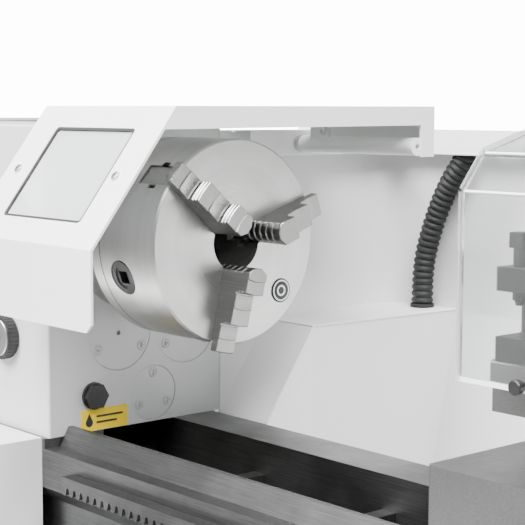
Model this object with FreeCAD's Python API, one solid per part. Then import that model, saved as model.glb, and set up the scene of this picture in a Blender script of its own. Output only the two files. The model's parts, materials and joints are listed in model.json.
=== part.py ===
"""Geared-head metal lathe on two cabinets, one STEP file per piece.

Modelled about the spindle: X runs along the spindle from the chuck face to the
tailstock, Y to the rear, Z up, in millimetres. Every piece is then moved so that
the origin is the centre of the footprint, on the floor.
"""

import FreeCAD
import Part
import math
import os

V = FreeCAD.Vector
X_AXIS, Y_AXIS, Z_AXIS = V(1, 0, 0), V(0, 1, 0), V(0, 0, 1)

# driving dimensions
SWING = 330.0
CHUCK_DIAMETER = 160.0
SPINDLE_HEIGHT = 1080.0
FLOOR_Z = -SPINDLE_HEIGHT
WAY_Z = -SWING / 2
CHUCK_R = CHUCK_DIAMETER / 2
CHUCK_BORE_R = 22.5
SPINDLE_BORE_R = 19.0
RUN = 0.05
SHEET = 2.0

CHUCK_DEPTH = 70.0
BACKPLATE_X = -84.0
JAW_COUNT = 3
JAW_FIRST_ANGLE = 18.3
PINION_ANGLE = 199.4
PINION_R = 14.3
JAW_WIDTH = 18.0
JAW_INNER_R = 18.0
JAW_STEPS = ((39.0, 32.0), (64.0, 20.5), (86.0, 8.5))
JAW_BASE_R, TONGUE_R = 78.5, 72.0

HEAD_LEFT, HEAD_RIGHT = -530.0, -130.0
HEAD_FRONT, HEAD_REAR = -89.0, 90.5
HEAD_BOTTOM, HEAD_SEAM, HEAD_TOP = WAY_Z, 61.0, 89.2
HEAD_WALL = 12.0
COVER_CENTRES = ((-18.2, -84.8, 32.0), (52.0, -86.0, 32.0), (16.5, -140.2, 23.8))
INTERMEDIATE_AXIS = (-18.0, -86.0)
INPUT_AXIS = (52.0, -86.0)
MOTOR_AXIS = (205.0, -290.0)
FEED_AXIS = (-140.0, -250.0)
GEAR_MODULE = 2.0
SPINDLE_TEETH, PINION_TEETH, LARGE_TEETH, INPUT_TEETH = 56, 32, 50, 20
STUD_TEETH, IDLER_TEETH, FEED_TEETH = 40, 100, 46
CHANGE_GEARS_X = (-554.0, -540.0)
PULLEY_LEFT, PULLEY_RIGHT = -606.0, -582.0
INPUT_PULLEY_R, MOTOR_PULLEY_R = 60.0, 40.0

BED_LEFT, BED_RIGHT = -530.0, 1180.0
BED_FRONT, BED_REAR = -93.0, 81.0
BED_BOTTOM = -345.0
TRAY_Z = -425.0
CABINET_TOP = TRAY_Z - 3
CABINET_BOTTOM = FLOOR_Z + 20
CABINET_DEPTH = 190.0
DOOR_HINGE = (24.0, -4.0, 3.4)
COVER_HINGE = (-539.0, 266.0, 5.0)
CABINETS = {"left": (-560.0, -150.0), "right": (780.0, 1150.0)}

ROD_Y = -150.0
LEADSCREW_Z, FEED_ROD_Z, CONTROL_ROD_Z = -235.0, -275.0, -312.0
ROD_BORES = ((LEADSCREW_Z, 9.0), (FEED_ROD_Z, 9.5), (CONTROL_ROD_Z, 9.5))
ROD_RIGHT = 1138.0

CARRIAGE_LEFT, CARRIAGE_RIGHT = 320.0, 540.0
COMPOUND_X, COMPOUND_Y = 430.0, -72.0
POST_X = 386.0
POST_SIDE = 76.0

TAIL_LEFT, TAIL_RIGHT = 960.0, 1130.0
QUILL_R = 22.0

GUARD_LEFT, GUARD_RIGHT = -128.0, 40.0
GUARD_PROFILE = ((-163.0, -50.8), (-163.0, 6.5), (-89.0, 104.5), (181.0, 105.5), (181.0, 64.0))
GUARD_SIDE = ((-101.5, 88.0), (-89.0, 104.5), (181.0, 105.5), (181.0, 64.0), (165.0, 64.0), (165.0, 90.0))
GUARD_PIVOT = (162.0, 72.3)
GUARD_PIN_R = 4.0
SLEEVE_R, SLEEVE_LEFT, SLEEVE_RIGHT = 7.4, -98.0, 38.0

SPLASH_X, SPLASH_Y = -130.0, 310.0
SPLASH_TOP, SPLASH_LIP = 84.3, 63.0
SPLASH_CORNER = 42.0
SPLASH_RIGHT = 1170.0
SPLASH_FOLD_Z, SPLASH_FOOT_Y = -86.0, 245.0
SPLASH_FRONT = 91.0
CHANNEL_X, CHANNEL_Y, CHANNEL_FRONT = 26.0, 30.0, 104.0
LEDGE_FRONT, LEDGE_REAR = (145.5, -88.1), (SPLASH_Y, -84.3)

PLUG_CENTRE = (-45.5, -135.1)
BUTTONS = {
    "emergency_stop": (-370.0, 10.0, 14.0),
    "start_button": (-420.0, 10.0, 9.0),
}
DIAL_CENTRE = (-192.0, -88.0)
SELECTOR_CENTRE = (-340.0, -235.0)
CONDUIT_R = 10.5
CONDUIT_ROUTE = (
    (-76.5, 297.5, LEDGE_REAR[1]), (-76.5, 297.5, -66.0), (-74.4, 296.8, -42.0), (-66.5, 296.3, -14.0),
    (-53.5, 296.0, 17.0), (-39.0, 295.6, 41.0), (-24.0, 295.4, 58.0), (-19.0, 295.4, 76.0),
)
CARRIAGE_WHEEL = (384.0, -290.0)
HALF_NUT_PIVOT = (482.0, -235.0)
CROSS_FRONT, CROSS_REAR = -168.0, 92.0
CROSS_WHEEL_Z = -158.0
GUARD_ARM_Z = 86.0
POST_Z0, POST_Z1 = -32.4, 18.5
VEE_CUT = ((-75.6, WAY_Z - 1), (-71.0, WAY_Z + 8), (-65.6, WAY_Z + 8), (-55.3, WAY_Z - 1))
SLOT_Z0, SLOT_Z1, SLOT_DEPTH = -19.4, 5.6, 19.0
PEDAL_Y, PEDAL_Z, PEDAL_PIN_R = -140.0, -950.0, 10.0

parts = {}


def box(x0, x1, y0, y1, z0, z1):
    return Part.makeBox(x1 - x0, y1 - y0, z1 - z0, V(x0, y0, z0))


def rod(radius, start, end):
    """A cylinder between two points."""
    start, end = V(*start), V(*end)
    return Part.makeCylinder(radius, (end - start).Length, start, end - start)


def ring(outer, inner, start, end):
    return rod(outer, start, end).cut(rod(inner, start, end))


def cone(radius_0, radius_1, start, end):
    start, end = V(*start), V(*end)
    return Part.makeCone(radius_0, radius_1, (end - start).Length, start, end - start)


def prism(outline, axis, low, high):
    """Extrude an outline along X (points are y, z), Y (x, z) or Z (x, y)."""
    place = {
        "x": lambda a, b: V(low, a, b),
        "y": lambda a, b: V(a, low, b),
        "z": lambda a, b: V(a, b, low),
    }[axis]
    direction = {"x": X_AXIS, "y": Y_AXIS, "z": Z_AXIS}[axis]
    points = [place(a, b) for a, b in outline]
    face = Part.Face(Part.makePolygon(points + points[:1]))
    return face.extrude(direction * (high - low))


def turned(profile):
    """Revolve an outline of (x, radius) points about the spindle axis."""
    points = [V(x, 0, r) for x, r in profile]
    face = Part.Face(Part.makePolygon(points + points[:1]))
    return face.revolve(V(0, 0, 0), X_AXIS, 360)


def fuse(*shapes):
    result = shapes[0]
    for shape in shapes[1:]:
        result = result.fuse(shape)
    return result.removeSplitter()


def round_edges(shape, radius, direction, keep=None):
    """Fillet the straight edges that run along a direction."""
    chosen = []
    for edge in shape.Edges:
        if not isinstance(edge.Curve, Part.Line):
            continue
        along = edge.tangentAt(edge.FirstParameter)
        if abs(abs(along.dot(direction)) - 1) > 1e-6:
            continue
        if keep is None or keep(edge.CenterOfMass):
            chosen.append(edge)
    return shape.makeFillet(radius, chosen) if chosen else shape


def rounded_box(x0, x1, y0, y1, z0, z1, radius, direction):
    return round_edges(box(x0, x1, y0, y1, z0, z1), radius, direction)


def offset_line(points, distance):
    """Shift an open polyline sideways, with mitred corners."""
    shifted = []
    for index, point in enumerate(points):
        normals = []
        for a, b in ((index - 1, index), (index, index + 1)):
            if a < 0 or b >= len(points):
                continue
            dy, dz = points[b][0] - points[a][0], points[b][1] - points[a][1]
            length = math.hypot(dy, dz)
            normals.append((dz / length, -dy / length))
        ny = sum(n[0] for n in normals) / len(normals)
        nz = sum(n[1] for n in normals) / len(normals)
        scale = distance / (ny * ny + nz * nz)
        shifted.append((point[0] + ny * scale, point[1] + nz * scale))
    return shifted


def strip(points, distance):
    """The closed outline between a polyline and its offset."""
    return list(points) + offset_line(points, distance)[::-1]


def tube_along(points, radius):
    """A tube on straight runs joined by tangent arcs."""
    points = [V(*p) for p in points]
    edges, start = [], points[0]
    for before, corner, after in zip(points, points[1:], points[2:]):
        into, out = corner - before, after - corner
        turn = into.getAngle(out)
        reach = 0.45 * min(into.Length, out.Length)
        first = corner - V(into).normalize() * reach
        last = corner + V(out).normalize() * reach
        bow = V(out).normalize() - V(into).normalize()
        arc_radius = reach / math.tan(turn / 2)
        depth = arc_radius / math.cos(turn / 2) - arc_radius
        middle = corner + bow.normalize() * depth
        edges.append(Part.LineSegment(start, first).toShape())
        edges.append(Part.Arc(first, middle, last).toShape())
        start = last
    edges.append(Part.LineSegment(start, points[-1]).toShape())
    path = Part.Wire(edges)
    section = Part.Wire(Part.makeCircle(radius, points[0], points[1] - points[0]))
    return path.makePipeShell([section], True, False)


def gear(teeth, axis, x0, x1, bore, phase=0.0):
    """A spur gear on an axis parallel to the spindle; teeth are slightly thin for backlash."""
    pitch = GEAR_MODULE * teeth / 2
    root, tip = pitch - 1.25 * GEAR_MODULE, pitch + 0.9 * GEAR_MODULE
    step = 2 * math.pi / teeth
    outline = []
    for tooth in range(teeth):
        centre = tooth * step + phase
        for radius, share in ((root, -0.34), (tip, -0.13), (tip, 0.13), (root, 0.34)):
            angle = centre + share * step
            outline.append((axis[0] + radius * math.cos(angle), axis[1] + radius * math.sin(angle)))
    wheel = prism(outline, "x", x0, x1)
    return wheel.cut(rod(bore, (x0 - 1, *axis), (x1 + 1, *axis)))


def mesh_phase(driver_teeth, driver_phase, driver_axis, teeth, axis):
    """Phase that puts a tooth gap of the driven gear on a tooth of its driver."""
    line = math.atan2(axis[1] - driver_axis[1], axis[0] - driver_axis[0])
    driver_step = 2 * math.pi / driver_teeth
    lead = (line - driver_phase) % driver_step
    return line + math.pi + (lead / driver_step + 0.5) * 2 * math.pi / teeth


def along(axis, x):
    return (x, axis[0], axis[1])


def handwheel(radius, centre, direction, handle_side, rim=7.0, hub=14.0, spokes=3, hub_length=26.0):
    """A spoked handwheel with a crank handle, its hub running back along the direction."""
    centre, direction = V(*centre), V(*direction)
    wheel = Part.makeTorus(radius - rim, rim, centre, direction)
    wheel = wheel.fuse(Part.makeCylinder(hub, hub_length, centre - direction * (hub_length - 8), direction))
    side = V(*handle_side)
    for index in range(spokes):
        turn = FreeCAD.Rotation(direction, 360.0 * index / spokes)
        arm = turn.multVec(side)
        wheel = wheel.fuse(Part.makeCylinder(rim * 0.62, radius - rim, centre, arm))
    grip_foot = centre + side * (radius - rim)
    neck = Part.makeCylinder(4, 16, grip_foot, direction)
    grip = Part.makeCone(7, 9, 38, grip_foot + direction * 14, direction)
    return wheel.fuse(neck).fuse(grip).removeSplitter()


def lever(hub_centre, direction, arm, length, hub_r, hub_length, arm_r=5.0, knob_r=11.0):
    """A round hub with a straight arm that ends in a ball knob."""
    centre, direction, arm = V(*hub_centre), V(*direction).normalize(), V(*arm).normalize()
    hub = Part.makeCylinder(hub_r, hub_length, centre, direction)
    root = centre + direction * (hub_length / 2)
    return hub.fuse(knobbed_arm(root, arm, length, arm_r, knob_r)).removeSplitter()


def knobbed_arm(root, direction, length, arm_r, knob_r):
    """One turned piece: a straight arm with a ball at its end."""
    neck = length - math.sqrt(knob_r ** 2 - arm_r ** 2)
    ball = Part.Arc(V(neck, 0, arm_r), V(length, 0, knob_r), V(length + knob_r, 0, 0)).toShape()
    sides = Part.makePolygon([V(length + knob_r, 0, 0), V(0, 0, 0), V(0, 0, arm_r), V(neck, 0, arm_r)])
    arm = Part.Face(Part.Wire([ball] + sides.Edges)).revolve(V(0, 0, 0), X_AXIS, 360)
    arm.Placement = FreeCAD.Placement(root, FreeCAD.Rotation(X_AXIS, direction))
    return arm


def pan_head(centre, direction, radius, height):
    """A domed screw head with a cross recess."""
    centre, direction = V(*centre), V(*direction).normalize()
    head = Part.makeCylinder(radius, height, centre, direction)
    head = head.makeFillet(height * 0.45, [head.Edges[0]])
    side = direction.cross(Z_AXIS if abs(direction.z) < 0.9 else X_AXIS).normalize()
    other = direction.cross(side)
    for first, second in ((side, other), (other, side)):
        corner = centre + direction * (height * 0.5) - first * (radius * 0.6) - second * (radius * 0.12)
        bar = Part.makeBox(1, 1, 1)
        matrix = FreeCAD.Matrix(
            first.x * radius * 1.2, second.x * radius * 0.24, direction.x * height, corner.x,
            first.y * radius * 1.2, second.y * radius * 0.24, direction.y * height, corner.y,
            first.z * radius * 1.2, second.z * radius * 0.24, direction.z * height, corner.z,
        )
        head = head.cut(bar.transformGeometry(matrix))
    return head


def make_cabinets():
    wall, y0, y1 = 3.0, -CABINET_DEPTH, CABINET_DEPTH
    for side, (x0, x1) in CABINETS.items():
        shell = box(x0, x1, y0, y1, CABINET_BOTTOM, CABINET_TOP)
        inside = box(x0 + wall, x1 - wall, y0 + wall, y1 - wall, CABINET_BOTTOM + wall, CABINET_TOP - wall)
        shell = shell.cut(inside)
        if side == "left":
            opening = box(x0 + 30, x1 - 30, y0 - 1, y0 + wall + 1, CABINET_BOTTOM + 60, CABINET_TOP - 50)
            shell = shell.cut(opening)
        pedal_wall = x1 if side == "left" else x0
        hole = (pedal_wall - 5, PEDAL_Y, PEDAL_Z), (pedal_wall + 5, PEDAL_Y, PEDAL_Z)
        parts[side + "_cabinet"] = shell.cut(rod(PEDAL_PIN_R + 2 * RUN, *hole))
    x0, x1 = CABINETS["left"]
    z0, z1 = CABINET_BOTTOM + 54, CABINET_TOP - 44
    panel = rounded_box(x0 + 24, x1 - 24, y0 - 3.2, y0 - 0.2, z0, z1, 6, Y_AXIS)
    knob_x, knob_z = x1 - 50, (z0 + z1) / 2
    knob = rod(14, (knob_x, y0 - 3.2, knob_z), (knob_x, y0 - 13.2, knob_z))
    grip = box(knob_x - 3, knob_x + 3, y0 - 21.2, y0 - 13.2, knob_z - 12, knob_z + 12)
    hinge_x, hinge_y, hinge_r = x0 + DOOR_HINGE[0], y0 + DOOR_HINGE[1], DOOR_HINGE[2]
    barrels = [rod(hinge_r, (hinge_x, hinge_y, z), (hinge_x, hinge_y, z + 60)) for z in (z0 + 50, z1 - 110)]
    parts["cabinet_door"] = fuse(panel, knob, grip, *barrels)


def make_brake_pedal():
    """A treadle the width of the gap between the cabinets, on a cross shaft."""
    left, right = CABINETS["left"][1], CABINETS["right"][0]
    shaft = rod(PEDAL_PIN_R, (left - 2, PEDAL_Y, PEDAL_Z), (right + 2, PEDAL_Y, PEDAL_Z))
    tread = round_edges(box(left + 12, right - 12, -262, -200, -996, -990), 2, X_AXIS)
    lip = box(left + 12, right - 12, -264, -260, -1012, -990)
    pedal = shaft.fuse(tread).fuse(lip)
    for x in (left + 60, (left + right) / 2, right - 60):
        root = ((PEDAL_Y - 9, PEDAL_Z + 6), (PEDAL_Y + 9, PEDAL_Z), (PEDAL_Y, PEDAL_Z - 12))
        arm = root + ((-205, -996), (-255, -996))
        pedal = pedal.fuse(prism(arm, "x", x - 4, x + 4))
    parts["brake_pedal"] = pedal.removeSplitter()


def make_levelling_feet():
    feet = []
    for x0, x1 in CABINETS.values():
        for x in (x0 + 30, x1 - 30):
            for y in (-CABINET_DEPTH + 30, CABINET_DEPTH - 30):
                pad = cone(26, 22, (x, y, FLOOR_Z), (x, y, FLOOR_Z + 9))
                feet.append(pad.fuse(rod(9, (x, y, FLOOR_Z + 9), (x, y, CABINET_BOTTOM))).removeSplitter())
    parts["levelling_feet"] = Part.makeCompound(feet)


def make_chip_tray():
    x0, x1, y0, y1, rim = -600.0, 1215.0, -245.0, 335.0, 50.0
    tray = rounded_box(x0, x1, y0, y1, TRAY_Z - 3, TRAY_Z + rim, 18, Z_AXIS)
    tray = tray.cut(rounded_box(x0 + 3, x1 - 3, y0 + 3, y1 - 3, TRAY_Z, TRAY_Z + rim + 1, 15, Z_AXIS))
    parts["chip_tray"] = tray


def make_bed():
    """Two rails tied by ribs; the front rail has a raised V way."""
    front = ((BED_FRONT, WAY_Z), (-35, WAY_Z), (-35, -202), (-50, -217), (-50, -317), (-35, -325),
             (-35, BED_BOTTOM), (BED_FRONT, BED_BOTTOM), (BED_FRONT, -325), (-82, -317), (-82, -217),
             (BED_FRONT, -205))
    rear = ((38, WAY_Z), (BED_REAR, WAY_Z), (BED_REAR, -202), (72, -212), (72, -317), (BED_REAR, -325),
            (BED_REAR, BED_BOTTOM), (38, BED_BOTTOM), (38, -325), (50, -317), (50, -217), (38, -202))
    bed = prism(front, "x", BED_LEFT, BED_RIGHT).fuse(prism(rear, "x", BED_LEFT, BED_RIGHT))
    bed = bed.cut(box(HEAD_RIGHT - 1, BED_RIGHT + 1, BED_FRONT - 1, -30, WAY_Z - 8, WAY_Z + 10))
    ridge = ((-79, WAY_Z - 8), (-70.5, WAY_Z + 7.5), (-66, WAY_Z + 7.5), (-48, WAY_Z - 8))
    bed = bed.fuse(prism(ridge, "x", HEAD_RIGHT, BED_RIGHT))
    for x in range(-450, 1180, 145):
        bed = bed.fuse(box(x - 7, x + 7, -50, 50, BED_BOTTOM, WAY_Z - 27))
    for x0, x1 in ((BED_LEFT + 10, -160), (860, BED_RIGHT)):
        foot = box(x0, x1, BED_FRONT, BED_REAR, TRAY_Z, BED_BOTTOM)
        foot = foot.cut(box(x0 + 14, x1 - 14, BED_FRONT + 14, BED_REAR - 14, TRAY_Z - 1, BED_BOTTOM + 1))
        bed = bed.fuse(foot)
    parts["bed"] = bed.fuse(end_bracket()).fuse(rack()).removeSplitter()


def rack():
    """The carriage rack under the front way, teeth down."""
    pitch, x0, x1 = 9.42, -90.0, 1100.0
    outline = [(x1, -186), (x0, -186)]
    for tooth in range(int((x1 - x0) / pitch)):
        left = x0 + tooth * pitch
        outline += [(left + 0.8, -194), (left + 2.6, -200), (left + 6.0, -200), (left + 7.8, -194)]
    outline.append((x1, -194))
    return prism(outline, "y", BED_FRONT - 11, BED_FRONT)


def end_bracket():
    """The block at the bed's right end that carries the three rods."""
    bracket = rounded_box(1112, 1140, ROD_Y - 22, BED_FRONT, -336, -210, 5, X_AXIS)
    for z, radius in ROD_BORES:
        bracket = bracket.cut(rod(radius + RUN, (1111, ROD_Y, z), (1141, ROD_Y, z)))
    return bracket


def round_upright_edges(block):
    """Round the headstock's upright edges, all but the one against the splash guard."""
    block = round_edges(block, 5, Z_AXIS, lambda c: c.x < HEAD_LEFT + 1)
    return round_edges(block, 2, Z_AXIS, lambda c: c.x > HEAD_RIGHT - 1 and c.y < 0)


def make_headstock():
    casing = box(HEAD_LEFT, HEAD_RIGHT, HEAD_FRONT, HEAD_REAR, HEAD_BOTTOM, HEAD_SEAM)
    casing = round_upright_edges(casing)
    casing = casing.cut(box(
        HEAD_LEFT + HEAD_WALL, HEAD_RIGHT - HEAD_WALL, HEAD_FRONT + HEAD_WALL, HEAD_REAR - HEAD_WALL,
        HEAD_BOTTOM + HEAD_WALL, HEAD_SEAM + 1,
    ))
    boss = rod(64, (HEAD_LEFT, 0, 0), (HEAD_LEFT + 34, 0, 0))
    boss = boss.fuse(rod(64, (HEAD_RIGHT - 34, 0, 0), (HEAD_RIGHT, 0, 0)))
    boss = boss.common(box(HEAD_LEFT, HEAD_RIGHT, HEAD_FRONT, HEAD_REAR, HEAD_BOTTOM, HEAD_SEAM))
    casing = casing.fuse(boss)
    casing = casing.cut(rod(52, (HEAD_LEFT - 1, 0, 0), (HEAD_RIGHT + 1, 0, 0)))
    input_bore = rod(12 + RUN, along(INPUT_AXIS, HEAD_LEFT - 1), along(INPUT_AXIS, HEAD_LEFT + HEAD_WALL + 1))
    casing = casing.cut(input_bore)
    for y, z, radius in COVER_CENTRES:
        casing = casing.cut(rod(radius, (HEAD_RIGHT - 6, y, z), (HEAD_RIGHT + 1, y, z)))
    casing = casing.cut(rod(10 + RUN, (HEAD_RIGHT - 8, *PLUG_CENTRE), (HEAD_RIGHT + 1, *PLUG_CENTRE)))
    panel = rounded_box(-500, -330, HEAD_FRONT - 4, HEAD_FRONT, -45, 48, 5, Y_AXIS)
    casing = casing.fuse(panel)
    for x, z, radius in BUTTONS.values():
        casing = casing.cut(rod(radius + 1, (x, HEAD_FRONT - 5, z), (x, HEAD_FRONT + 8, z)))
    parts["headstock_casing"] = casing.fuse(idler_bracket()).removeSplitter()

    lid = box(HEAD_LEFT, HEAD_RIGHT, HEAD_FRONT, HEAD_REAR, HEAD_SEAM, HEAD_TOP)
    lid = round_upright_edges(lid)
    lid = lid.makeFillet(2, [e for e in lid.Edges if e.CenterOfMass.z > HEAD_TOP - 0.1])
    lid = lid.cut(box(
        HEAD_LEFT + 12, HEAD_RIGHT - 12, HEAD_FRONT + 12, HEAD_REAR - 12, HEAD_SEAM - 1, HEAD_TOP - 8
    ))
    for x in (HEAD_LEFT, HEAD_RIGHT - 40):
        lid = lid.cut(rod(53, (x - 1, 0, 0), (x + 41, 0, 0)))
    parts["headstock_top_cover"] = lid


def make_headstock_trim():
    covers, screws = [], []
    for y, z, radius in COVER_CENTRES:
        cover = rod(radius - 0.4, (HEAD_RIGHT - 6, y, z), (HEAD_RIGHT - 0.4, y, z))
        reach = radius - 6.5
        for turn in (90, 210, 330):
            sy = y + reach * math.cos(math.radians(turn))
            sz = z + reach * math.sin(math.radians(turn))
            cover = cover.cut(rod(4.3, (HEAD_RIGHT - 3, sy, sz), (HEAD_RIGHT + 1, sy, sz)))
            screws.append(pan_head((HEAD_RIGHT - 3, sy, sz), (1, 0, 0), 4.3, 3))
        covers.append(cover)
    y, z, _ = COVER_CENTRES[0]
    covers[0] = covers[0].cut(rod(2, (HEAD_RIGHT - 4, y - 1, z), (HEAD_RIGHT + 1, y - 1, z)))
    parts["shaft_covers"] = Part.makeCompound(covers)
    parts["cover_screws"] = Part.makeCompound(screws)

    py, pz = PLUG_CENTRE
    corners = [math.radians(60 * index) for index in range(6)]
    hexagon = [(py + 11.2 * math.cos(a), pz + 11.2 * math.sin(a)) for a in corners]
    plug = fuse(
        rod(10, (HEAD_RIGHT - 8, py, pz), (HEAD_RIGHT, py, pz)),
        rod(11.4, (HEAD_RIGHT, py, pz), (HEAD_RIGHT + 3, py, pz)),
        prism(hexagon, "x", HEAD_RIGHT + 3, HEAD_RIGHT + 7),
    )
    parts["oil_filler_plug"] = plug
    for name, (x, z, radius) in BUTTONS.items():
        start = (x, HEAD_FRONT - 1, z)
        if name == "emergency_stop":
            body = rod(radius, start, (x, HEAD_FRONT - 18, z))
            body = body.fuse(rod(radius + 6, (x, HEAD_FRONT - 12, z), (x, HEAD_FRONT - 26, z)))
            body = body.removeSplitter()
        else:
            body = rod(radius, start, (x, HEAD_FRONT - 10, z))
        parts[name] = body


def make_headstock_levers():
    x, z = DIAL_CENTRE
    centre, arm = (x, HEAD_FRONT - 1, z), (-1, -0.22, -0.35)
    parts["speed_lever"] = lever(centre, (0, -1, 0), arm, 92, 18.5, 9.5, 3.5, 10)


def make_spindle():
    front, rear = BACKPLATE_X, -572.0
    profile = [
        (rear, SPINDLE_BORE_R), (front, SPINDLE_BORE_R), (front, 52), (-98, 52), (-98, 40), (HEAD_RIGHT, 40),
        (HEAD_RIGHT, 36), (-175, 36), (-175, 34), (-495, 34), (-495, 32), (HEAD_LEFT, 32), (HEAD_LEFT, 30),
        (rear, 30),
    ]
    parts["spindle"] = turned(profile)
    bearings = []
    for x0, x1, inner in ((HEAD_RIGHT - 32, HEAD_RIGHT - 2, 36), (HEAD_LEFT + 2, HEAD_LEFT + 32, 32)):
        bearings.append(ring(52, inner + RUN, (x0, 0, 0), (x1, 0, 0)))
    flange = ring(66, 40.5, (HEAD_RIGHT, 0, 0), (HEAD_RIGHT + 26, 0, 0))
    spigot = ring(52, 40.5, (HEAD_RIGHT - 2, 0, 0), (HEAD_RIGHT, 0, 0))
    bearings.append(fuse(flange, spigot))
    parts["spindle_bearings"] = Part.makeCompound(bearings)


def idler_axis():
    """Centre of the idler, on the line from the spindle to the feed gear."""
    direction = math.atan2(FEED_AXIS[1], FEED_AXIS[0])
    reach = GEAR_MODULE * (STUD_TEETH + IDLER_TEETH) / 2
    return reach * math.cos(direction), reach * math.sin(direction)


def idler_bracket():
    """The arm outside the headstock's left wall that carries the idler's pin."""
    axis = idler_axis()
    outline = ((-84, -70), (-52, -70), (-40, -128), (-60, -158), (-84, -158))
    arm = prism(outline, "x", -538, HEAD_LEFT)
    return fuse(arm, rod(10, along(axis, -562), along(axis, HEAD_LEFT)))


def make_gears():
    origin = (0.0, 0.0)
    x0, x1 = CHANGE_GEARS_X
    bull = gear(SPINDLE_TEETH, origin, -330, -310, 34)
    stud = gear(STUD_TEETH, origin, x0, x1, 30)
    parts["spindle_gears"] = Part.makeCompound([bull, stud])
    pinion_phase = mesh_phase(SPINDLE_TEETH, 0, origin, PINION_TEETH, INTERMEDIATE_AXIS)
    pinion = gear(PINION_TEETH, INTERMEDIATE_AXIS, -330, -310, 5, pinion_phase)
    large = gear(LARGE_TEETH, INTERMEDIATE_AXIS, -400, -380, 5, 0)
    left, right = HEAD_LEFT + HEAD_WALL + 0.5, HEAD_RIGHT - HEAD_WALL - 0.5
    shaft = rod(12, along(INTERMEDIATE_AXIS, left), along(INTERMEDIATE_AXIS, right))
    parts["intermediate_shaft"] = fuse(shaft, pinion, large)
    input_phase = mesh_phase(LARGE_TEETH, 0, INTERMEDIATE_AXIS, INPUT_TEETH, INPUT_AXIS)
    input_shaft = rod(12, along(INPUT_AXIS, -612), along(INPUT_AXIS, right))
    input_pinion = gear(INPUT_TEETH, INPUT_AXIS, -400, -380, 5, input_phase)
    parts["input_shaft"] = fuse(input_shaft, input_pinion, grooved_pulley(INPUT_AXIS, INPUT_PULLEY_R))

    middle = idler_axis()
    idler_phase = mesh_phase(STUD_TEETH, 0, origin, IDLER_TEETH, middle)
    parts["idler_gear"] = gear(IDLER_TEETH, middle, x0, x1, 10 + RUN, idler_phase)
    feed_phase = mesh_phase(IDLER_TEETH, idler_phase, middle, FEED_TEETH, FEED_AXIS)
    feed_gear = gear(FEED_TEETH, FEED_AXIS, x0, x1, 5, feed_phase)
    feed_shaft = rod(9, along(FEED_AXIS, -562), along(FEED_AXIS, HEAD_LEFT + 30))
    parts["feed_gear"] = fuse(feed_gear, feed_shaft)


def grooved_pulley(axis, radius):
    x0, x1 = PULLEY_LEFT, PULLEY_RIGHT
    profile = [(x0, 0), (x0, radius), (x0 + 2, radius)]
    profile += [(x0 + 7, radius - 10), (x1 - 7, radius - 10), (x1 - 2, radius), (x1, radius), (x1, 0)]
    pulley = turned(profile)
    pulley.translate(V(0, axis[0], axis[1]))
    return pulley


def make_motor_drive():
    y, z = MOTOR_AXIS
    body = rod(77, (-520, y, z), (-290, y, z))
    for x in (-528, -290):
        body = body.fuse(rod(68, (x, y, z), (x + 8, y, z)))
    body = body.fuse(rod(76, (-290 + 8, y, z), (-236, y, z)))
    foot = box(-480, -330, y - 60, y + 60, TRAY_Z, z - 60)
    foot = foot.cut(box(-460, -350, y - 61, y + 61, TRAY_Z - 1, z - 85))
    junction = rounded_box(-440, -370, y + 0, y + 60, z + 60, z + 100, 6, Z_AXIS)
    body = body.fuse(foot).fuse(junction)
    body = body.cut(rod(14, (-540, y, z), (-500, y, z)))
    parts["motor"] = body.removeSplitter()
    shaft = rod(14 - RUN, (-612, y, z), (-500, y, z))
    parts["motor_pulley"] = fuse(shaft, grooved_pulley(MOTOR_AXIS, MOTOR_PULLEY_R))
    parts["drive_belt"] = belt()


def belt():
    """A flat-sided belt that clears both pulley grooves."""
    x0, x1 = PULLEY_LEFT + 8, PULLEY_RIGHT - 8
    a, b = V(0, *INPUT_AXIS), V(0, *MOTOR_AXIS)
    line = (b - a).normalize()
    side = X_AXIS.cross(line)

    def loop(radius_a, radius_b):
        lean = math.asin((radius_a - radius_b) / a.distanceToPoint(b))
        out = side * math.cos(lean) + line * math.sin(lean)
        mirrored = side * -math.cos(lean) + line * math.sin(lean)
        points = [a + out * radius_a, b + out * radius_b, b + line * radius_b, b + mirrored * radius_b]
        points += [a + mirrored * radius_a, a - line * radius_a]
        edges = [
            Part.LineSegment(points[0], points[1]).toShape(),
            Part.Arc(points[1], points[2], points[3]).toShape(),
            Part.LineSegment(points[3], points[4]).toShape(),
            Part.Arc(points[4], points[5], points[0]).toShape(),
        ]
        face = Part.Face(Part.Wire(edges))
        face.translate(V(x0, 0, 0))
        return face.extrude(X_AXIS * (x1 - x0))

    inner_a, inner_b = INPUT_PULLEY_R - 9.5, MOTOR_PULLEY_R - 9.5
    return loop(inner_a + 8, inner_b + 8).cut(loop(inner_a, inner_b))


def make_end_cover():
    x0, x1, y0, y1, z0, z1 = -642.0, -533.0, -200.0, 262.0, -347.0, 92.0
    cover = rounded_box(x0, x1, y0, y1, z0, z1, 22, X_AXIS)
    cover = cover.makeFillet(8, [e for e in cover.Edges if abs(e.CenterOfMass.x - x0) < 0.1])
    cover = cover.cut(rounded_box(x0 + 2.5, x1 + 1, y0 + 2.5, y1 - 2.5, z0 + 2.5, z1 - 2.5, 20, X_AXIS))
    bar_hole = rod(SPINDLE_BORE_R + 11, (x0 - 1, 0, 0), (x0 + 9, 0, 0))
    x, y, radius = COVER_HINGE
    barrels = [rod(radius, (x, y, z), (x, y, z + 70)) for z in (z0 + 50, z1 - 120)]
    parts["end_cover"] = fuse(cover.cut(bar_hole), *barrels)


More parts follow.
